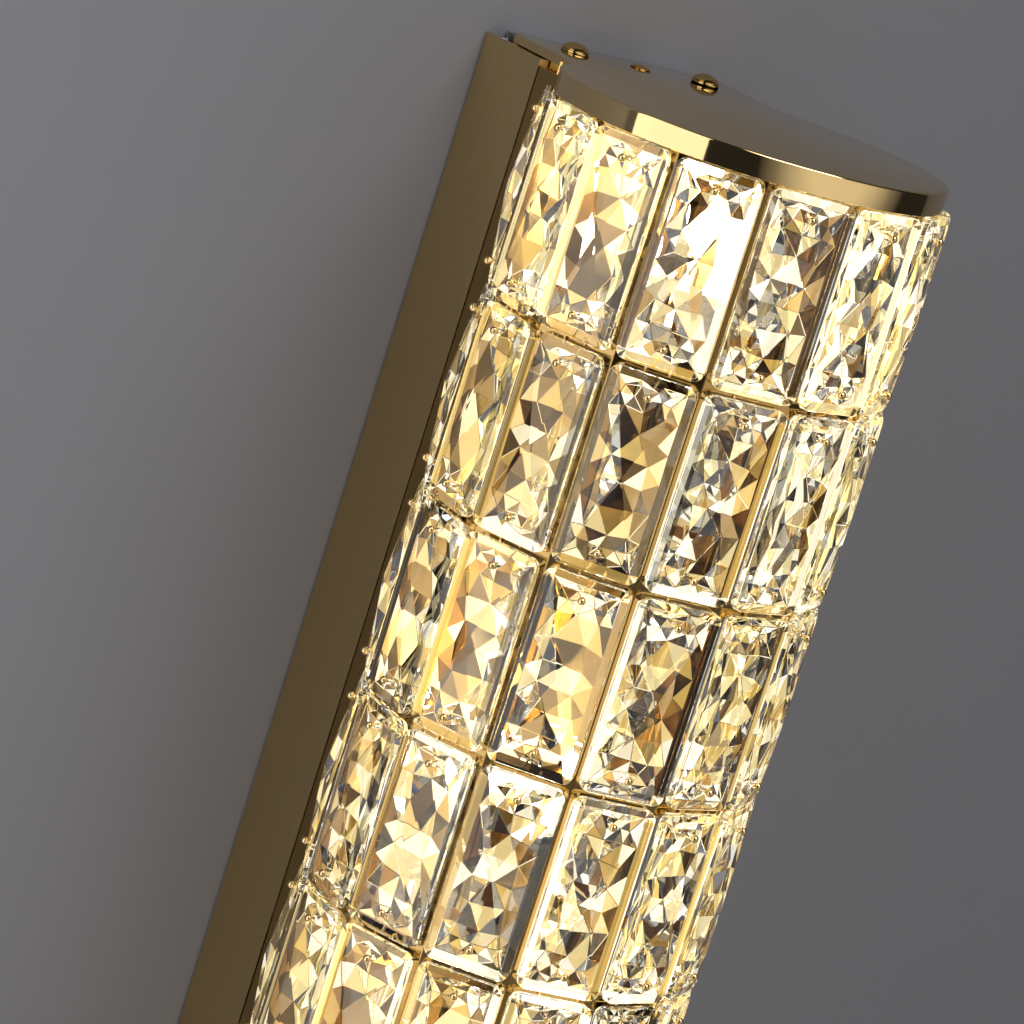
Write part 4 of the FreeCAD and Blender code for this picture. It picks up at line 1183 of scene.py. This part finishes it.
class SCONCE_OT_stage(bpy.types.Operator):
    """Set the boards, the soft lights, the world and the camera"""

    bl_idname = "sconce.stage"
    bl_label = "Stage"

    def execute(self, context):
        wall = painted_board("wall", colours().backdrop)
        floor = painted_board("floor", colours().floor)
        board("backdrop", wall_faces(), wall)
        near = [(-WALL_REACH, FLOOR_FRONT, FLOOR_LEVEL), (WALL_REACH, FLOOR_FRONT, FLOOR_LEVEL)]
        far = [(WALL_REACH, WALL_Y, FLOOR_LEVEL), (-WALL_REACH, WALL_Y, FLOOR_LEVEL)]
        board("floor", [near + far], floor)
        soft_light("left_softbox", (-0.33, -0.165, 0), (0, -0.165, 0), (0.27, 0.9), 1.2)
        soft_light("top_softbox", (0.1, -1.3, 1.9), (0, -0.06, 0), (1.6, 1.0), 30)
        soft_light("back_softbox", (-0.9, 1.4, 0.8), (0, 0, 0), (1.4, 1.4), 26)
        context.scene.world = soft_room()
        context.scene.view_settings.view_transform = "Standard"
        add_camera()
        return {"FINISHED"}


# ------------------------------------------------------------------ panel and registration
STEPS = (
    SCONCE_OT_caps,
    SCONCE_OT_cap_screws,
    SCONCE_OT_lattice,
    SCONCE_OT_crystals,
    SCONCE_OT_pins,
    SCONCE_OT_wall_box,
    SCONCE_OT_lamps,
    SCONCE_OT_wiring,
    SCONCE_OT_stage,
)


class VIEW3D_PT_sconce(bpy.types.Panel):
    bl_label = "Crystal sconce"
    bl_space_type = "VIEW_3D"
    bl_region_type = "UI"
    bl_category = "Sconce"

    def draw(self, context):
        for group in (context.scene.sconce_sizes, context.scene.sconce_colours):
            for key in group.__annotations__:
                self.layout.prop(group, key)
        for step in STEPS:
            self.layout.operator(step.bl_idname)


CLASSES = (SconceSizes, SconceColours, *STEPS, VIEW3D_PT_sconce)


def register():
    for cls in CLASSES:
        bpy.utils.register_class(cls)
    bpy.types.Scene.sconce_sizes = PointerProperty(type=SconceSizes)
    bpy.types.Scene.sconce_colours = PointerProperty(type=SconceColours)


def unregister():
    del bpy.types.Scene.sconce_colours
    del bpy.types.Scene.sconce_sizes
    for cls in reversed(CLASSES):
        bpy.utils.unregister_class(cls)


def main():
    register()
    for step in STEPS:
        group, name = step.bl_idname.split(".")
        getattr(getattr(bpy.ops, group), name)()


if __name__ == "__main__":
    main()
